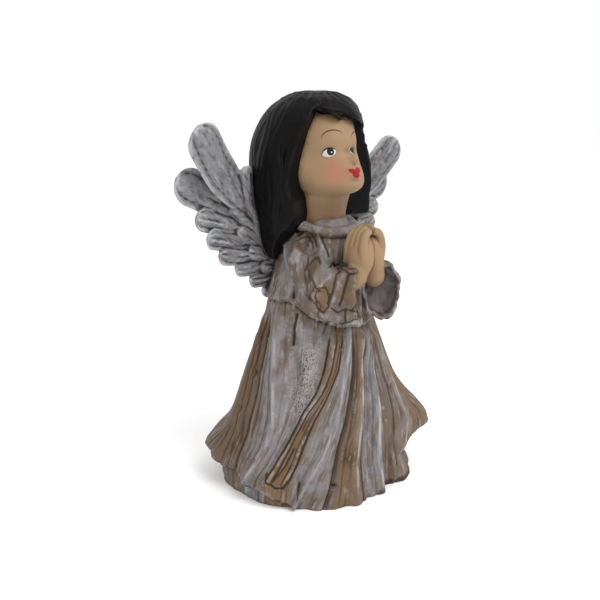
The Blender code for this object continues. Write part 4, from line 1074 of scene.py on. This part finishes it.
# painted highlight: near-white streaks along the ridge tops, over the dry brushing
for path, shift, half, strength in lights:
    off = node("MULTIPLY", node("ABSOLUTE", node("SUBTRACT", flowAt, cutFlow(path, shift))), spanAt)
    light = node("MULTIPLY", node("ramp", off, half * 1.5, half * 0.3), node("ramp", heightAt, 1, 6))
    light = node("MULTIPLY", light, node("ramp", heightAt, 66, 58))
    robeColour = coat(node("MULTIPLY", node("MULTIPLY", light, strength), node("ramp", smudges, 0.42, 0.58)), robeColour,
                      "robeBrush")
robeColour = coat(washAndShadeShare, robeColour, "robeWash", 0.92)
brushShare = node("MULTIPLY", node("ramp", node("MULTIPLY", creviceAt, -1), 0.04, 0.2), node("ramp", patches, 0.42, 0.6))
brushShare = node("MULTIPLY", brushShare, node("SUBTRACT", 1, node("MULTIPLY", woodAt, 0.8)))
robeColour = coat(brushShare, robeColour, "robeBrush", 0.45)

# wings: grey-white over a dark wash, brushed along the feathers, a little ochre in places, painted shade in the hollows
# between them
wingStreak, wingFine = mottle(wingPlace, 2.2, 3), mottle(wingPlace, 0.7, 3)
wingColour = coat(node("ramp", node("ADD", node("MULTIPLY", wingStreak, 0.5), node("MULTIPLY", patches, 0.5)), 0.42, 0.64),
                  "wingGrey", "wingDark")
wingColour = coat(node("ramp", mottle(inMillimetres, 6, 2), 0.56, 0.72), wingColour, "robeOchre", 0.3)
wingColour = coat(node("ramp", wingFine, 0.57, 0.66), wingColour, "wingWashAndShade", 0.45)
wingColour = coat(node("MULTIPLY", node("ramp", node("SUBTRACT", 1, wingFine), 0.5, 0.62),
                       node("MULTIPLY", node("ramp", patches, 0.4, 0.6), 0.35)), wingColour, "wingBrush")
# dark wash in the cuts, and painted shade in the broad hollows between the feathers
wingWashAndShade = node("MAXIMUM", node("ramp", creviceAt, 0.02, 0.11), node("MULTIPLY", node("ramp", hollowAt, 0.15, 0.6), 0.75))
wingColour = coat(wingWashAndShade, wingColour, "wingWashAndShade", 0.9)
wingBrush = node("MULTIPLY", node("ramp", node("MULTIPLY", creviceAt, -1), 0.02, 0.16), node("ramp", patches, 0.3, 0.55))
wingColour = coat(wingBrush, wingColour, "wingBrush", 0.8)

# hair: satin black, with a painted sheen a little lighter on the raised locks
hairColour = coat(node("MULTIPLY", node("ramp", node("MULTIPLY", creviceAt, -1), 0.02, 0.2),
                       node("ramp", mottle(inMillimetres, 3), 0.4, 0.6)),
                  "hairBlack", "hairPaintedSheen")

# skin: matt flesh paint with brown painted shade in the hollows and creases, then the face painted with a fine brush
skinColour = coat(node("ramp", hollowAt, -0.05, 0.7), "skin", "skinPaintedShade", 0.85)
skinColour = coat(node("ramp", creviceAt, 0.03, 0.16), skinColour, "skinPaintedShade", 0.8)
outward = node("ShaderNodeSeparateXYZ", {"Vector": inMillimetres}).outputs["Y"]
# painted shade under the chin and down the neck
neckPaintedShade = node("MULTIPLY", node("ramp", heightAt, 116.5, 109), node("ramp", outward, -17.5, -15))
skinColour = coat(neckPaintedShade, skinColour, "skinPaintedShade", 0.5)


def faceSpace(azimuth, elevation, roll=0.0):
    # millimetres across (x), out of the face (y reversed) and up (z), from a point on the face
    centre = onFace(np.float64(azimuth), np.float64(elevation))
    across = onFace(np.float64(azimuth + 1.0), np.float64(elevation)) - onFace(np.float64(azimuth - 1.0),
                                                                               np.float64(elevation))
    out = Vector(centre - headCentre).normalized()
    across = (Vector(across) - Vector(across).dot(out) * out).normalized()
    up = across.cross(-out)
    turned = Matrix((across, -out, up)).transposed() @ Matrix.Rotation(math.radians(roll), 3, "Y")
    space = node("ShaderNodeMapping", {"Vector": objectPlace, "Location": Vector(centre) * 0.001,
                                       "Rotation": turned.to_euler(), "Scale": (0.001, 0.001, 0.001)},
                 vector_type="TEXTURE")
    return space


def oval(space, x, z, wide, tall, soft=0.12, depth=4.0):
    # 1 inside an oval of these half-sizes in mm
    moved = node("ShaderNodeMapping", {"Vector": space, "Location": (x, 0, z), "Scale": (wide, depth, tall)},
                 vector_type="TEXTURE")
    away = node("length", moved).outputs["Value"]
    return node("ramp", node("SUBTRACT", 1, away), -soft, soft)


def arc(space, x, z, wide, tall, thick):
    # the upper edge of an oval, drawn as a line that is thickest in the middle
    return node("MULTIPLY", oval(space, x, z, wide, tall, 0.06),
                node("SUBTRACT", 1, oval(space, x, z - thick, wide * 1.02, tall, 0.06)))


for azimuth, elevation in head["blush"]:
    skinColour = coat(oval(faceSpace(azimuth, elevation), 0, 0, 4.6, 3.8, 0.8, 8), skinColour, "blush", 0.45)
for k, (azimuth, elevation) in enumerate(head["eyes"]):
    eye = faceSpace(azimuth, elevation, (-6, 6)[k])
    wide, gaze = head["white"][k], head["gaze"][k]
    white = node("MULTIPLY", oval(eye, 0, -0.75, wide, 2.35, 0.05), oval(eye, 0, 0.75, wide * 1.02, 2.1, 0.05))
    skinColour = coat(white, skinColour, "eyeWhite")
    skinColour = coat(node("MULTIPLY", oval(eye, gaze, 0.3, head["iris"][k], 1.4, 0.06), white), skinColour, "iris")
    # painted highlight: a small white glint on the iris
    skinColour = coat(oval(eye, gaze + 0.3, 0, 0.26, 0.26, 0.3), skinColour, "eyeWhite")
    skinColour = coat(arc(eye, 0, -0.6, wide * 1.05, 2.5, 0.5), skinColour, "lash")
    aside, above, roll = head["brows"][k]
    skinColour = coat(arc(faceSpace(azimuth + aside, above, roll), 0, 0, 4, 2.3, 0.42), skinColour, "lash")
mouth = faceSpace(*head["mouth"])
lipShare = 0.0
for place in head["lipPaint"]:
    lipShare = node("MAXIMUM", lipShare, oval(mouth, *place))
skinColour = coat(lipShare, skinColour, "lips")

colour = coat(node("ramp", marks["wingShare"], 0.4, 0.6), robeColour, wingColour)
skinHere = node("ramp", marks["skinShare"], 0.42, 0.58)
hairHere = node("ramp", marks["hairShare"], 0.4, 0.6)
colour = coat(skinHere, colour, skinColour)
colour = coat(hairHere, colour, hairColour)
roughness = node("SUBTRACT", 0.72, node("MULTIPLY", skinHere, 0.2))
roughness = node("SUBTRACT", roughness, node("MULTIPLY", hairHere, 0.3))
# brush marks and the pitted skin of the casting
height = node("ADD", node("MULTIPLY", fineStreaks, 0.7), node("MULTIPLY", speck, 0.5))
height = node("MULTIPLY", height, node("SUBTRACT", 1, node("MULTIPLY", skinHere, 0.95)))
height = node("MULTIPLY", height, node("SUBTRACT", 1, node("MULTIPLY", hairHere, 0.6)))
bump = node("ShaderNodeBump", {"Strength": 0.6, "Distance": 0.0003, "Height": height})
shine = node("SUBTRACT", 0.22, node("MULTIPLY", hairHere, 0.13))
shader = node("ShaderNodeBsdfPrincipled", {"Base Color": colour, "Roughness": roughness, "Normal": bump, "IOR": 1.5,
                                           "Specular IOR Level": shine})
node("ShaderNodeOutputMaterial", {"Surface": shader})
print("paint mixed")

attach(figure, "root")
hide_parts("angel_figure")

# the studio
studio = {
    "azimuth": -43.0, "distance": 0.300, "height": 0.150, "down": 14.5,  # degrees and metres
    "lens": 48.18, "shift": -0.03,
    "aim": 0.08,  # height that the lamp looks at
    "key": (5, 50, 0.9, 0.6, 5),  # azimuth, elevation, metres off, metres wide, watts
}
floorMesh = bpy.data.meshes.new("floor")
floorMesh.from_pydata([(-3, -3, 0), (3, -3, 0), (3, 3, 0), (-3, 3, 0)], [], [(0, 1, 2, 3)])
floor = bpy.data.objects.new("floor", floorMesh)
bpy.context.collection.objects.link(floor)
paper = bpy.data.materials.new("whitePaperSweep")  # matt card, so the floor takes only a soft shadow
paper.use_nodes = True
paper.node_tree.nodes["Principled BSDF"].inputs["Base Color"].default_value = linear("#ffffff")
paper.node_tree.nodes["Principled BSDF"].inputs["Roughness"].default_value = 0.9
floorMesh.materials.append(paper)

turn, down = math.radians(studio["azimuth"]), math.radians(studio["down"])
ahead = Vector((-math.sin(turn) * math.cos(down), math.cos(turn) * math.cos(down), -math.sin(down)))
cameraData = bpy.data.cameras.new("camera")
cameraData.sensor_width = 36.0
cameraData.lens = studio["lens"]
cameraData.shift_x = studio["shift"]
cameraData.clip_start = 0.01
camera = bpy.data.objects.new("camera", cameraData)
bpy.context.collection.objects.link(camera)
camera.location = (studio["distance"] * math.sin(turn), -studio["distance"] * math.cos(turn), studio["height"])
camera.rotation_euler = ahead.to_track_quat("-Z", "Y").to_euler()
bpy.context.scene.camera = camera

world = bpy.data.worlds.new("studioWorld")
bpy.context.scene.world = world
world.use_nodes = True
world.node_tree.nodes["Background"].inputs["Color"].default_value = (1, 1, 1, 1)
world.node_tree.nodes["Background"].inputs["Strength"].default_value = 1.0


def softbox(name, azimuth, elevation, far, size, power):
    light = bpy.data.lights.new(name, "AREA")
    light.energy = power
    light.size = size
    lamp = bpy.data.objects.new(name, light)
    bpy.context.collection.objects.link(lamp)
    a, e = math.radians(azimuth), math.radians(elevation)
    lamp.location = (far * math.sin(a) * math.cos(e), -far * math.cos(a) * math.cos(e), studio["aim"] + far * math.sin(e))
    lamp.rotation_euler = (Vector((0, 0, studio["aim"])) - lamp.location).to_track_quat("-Z", "Y").to_euler()


softbox("keyLight", *studio["key"])
bpy.context.scene.view_settings.view_transform = "Standard"

print("studio ready")
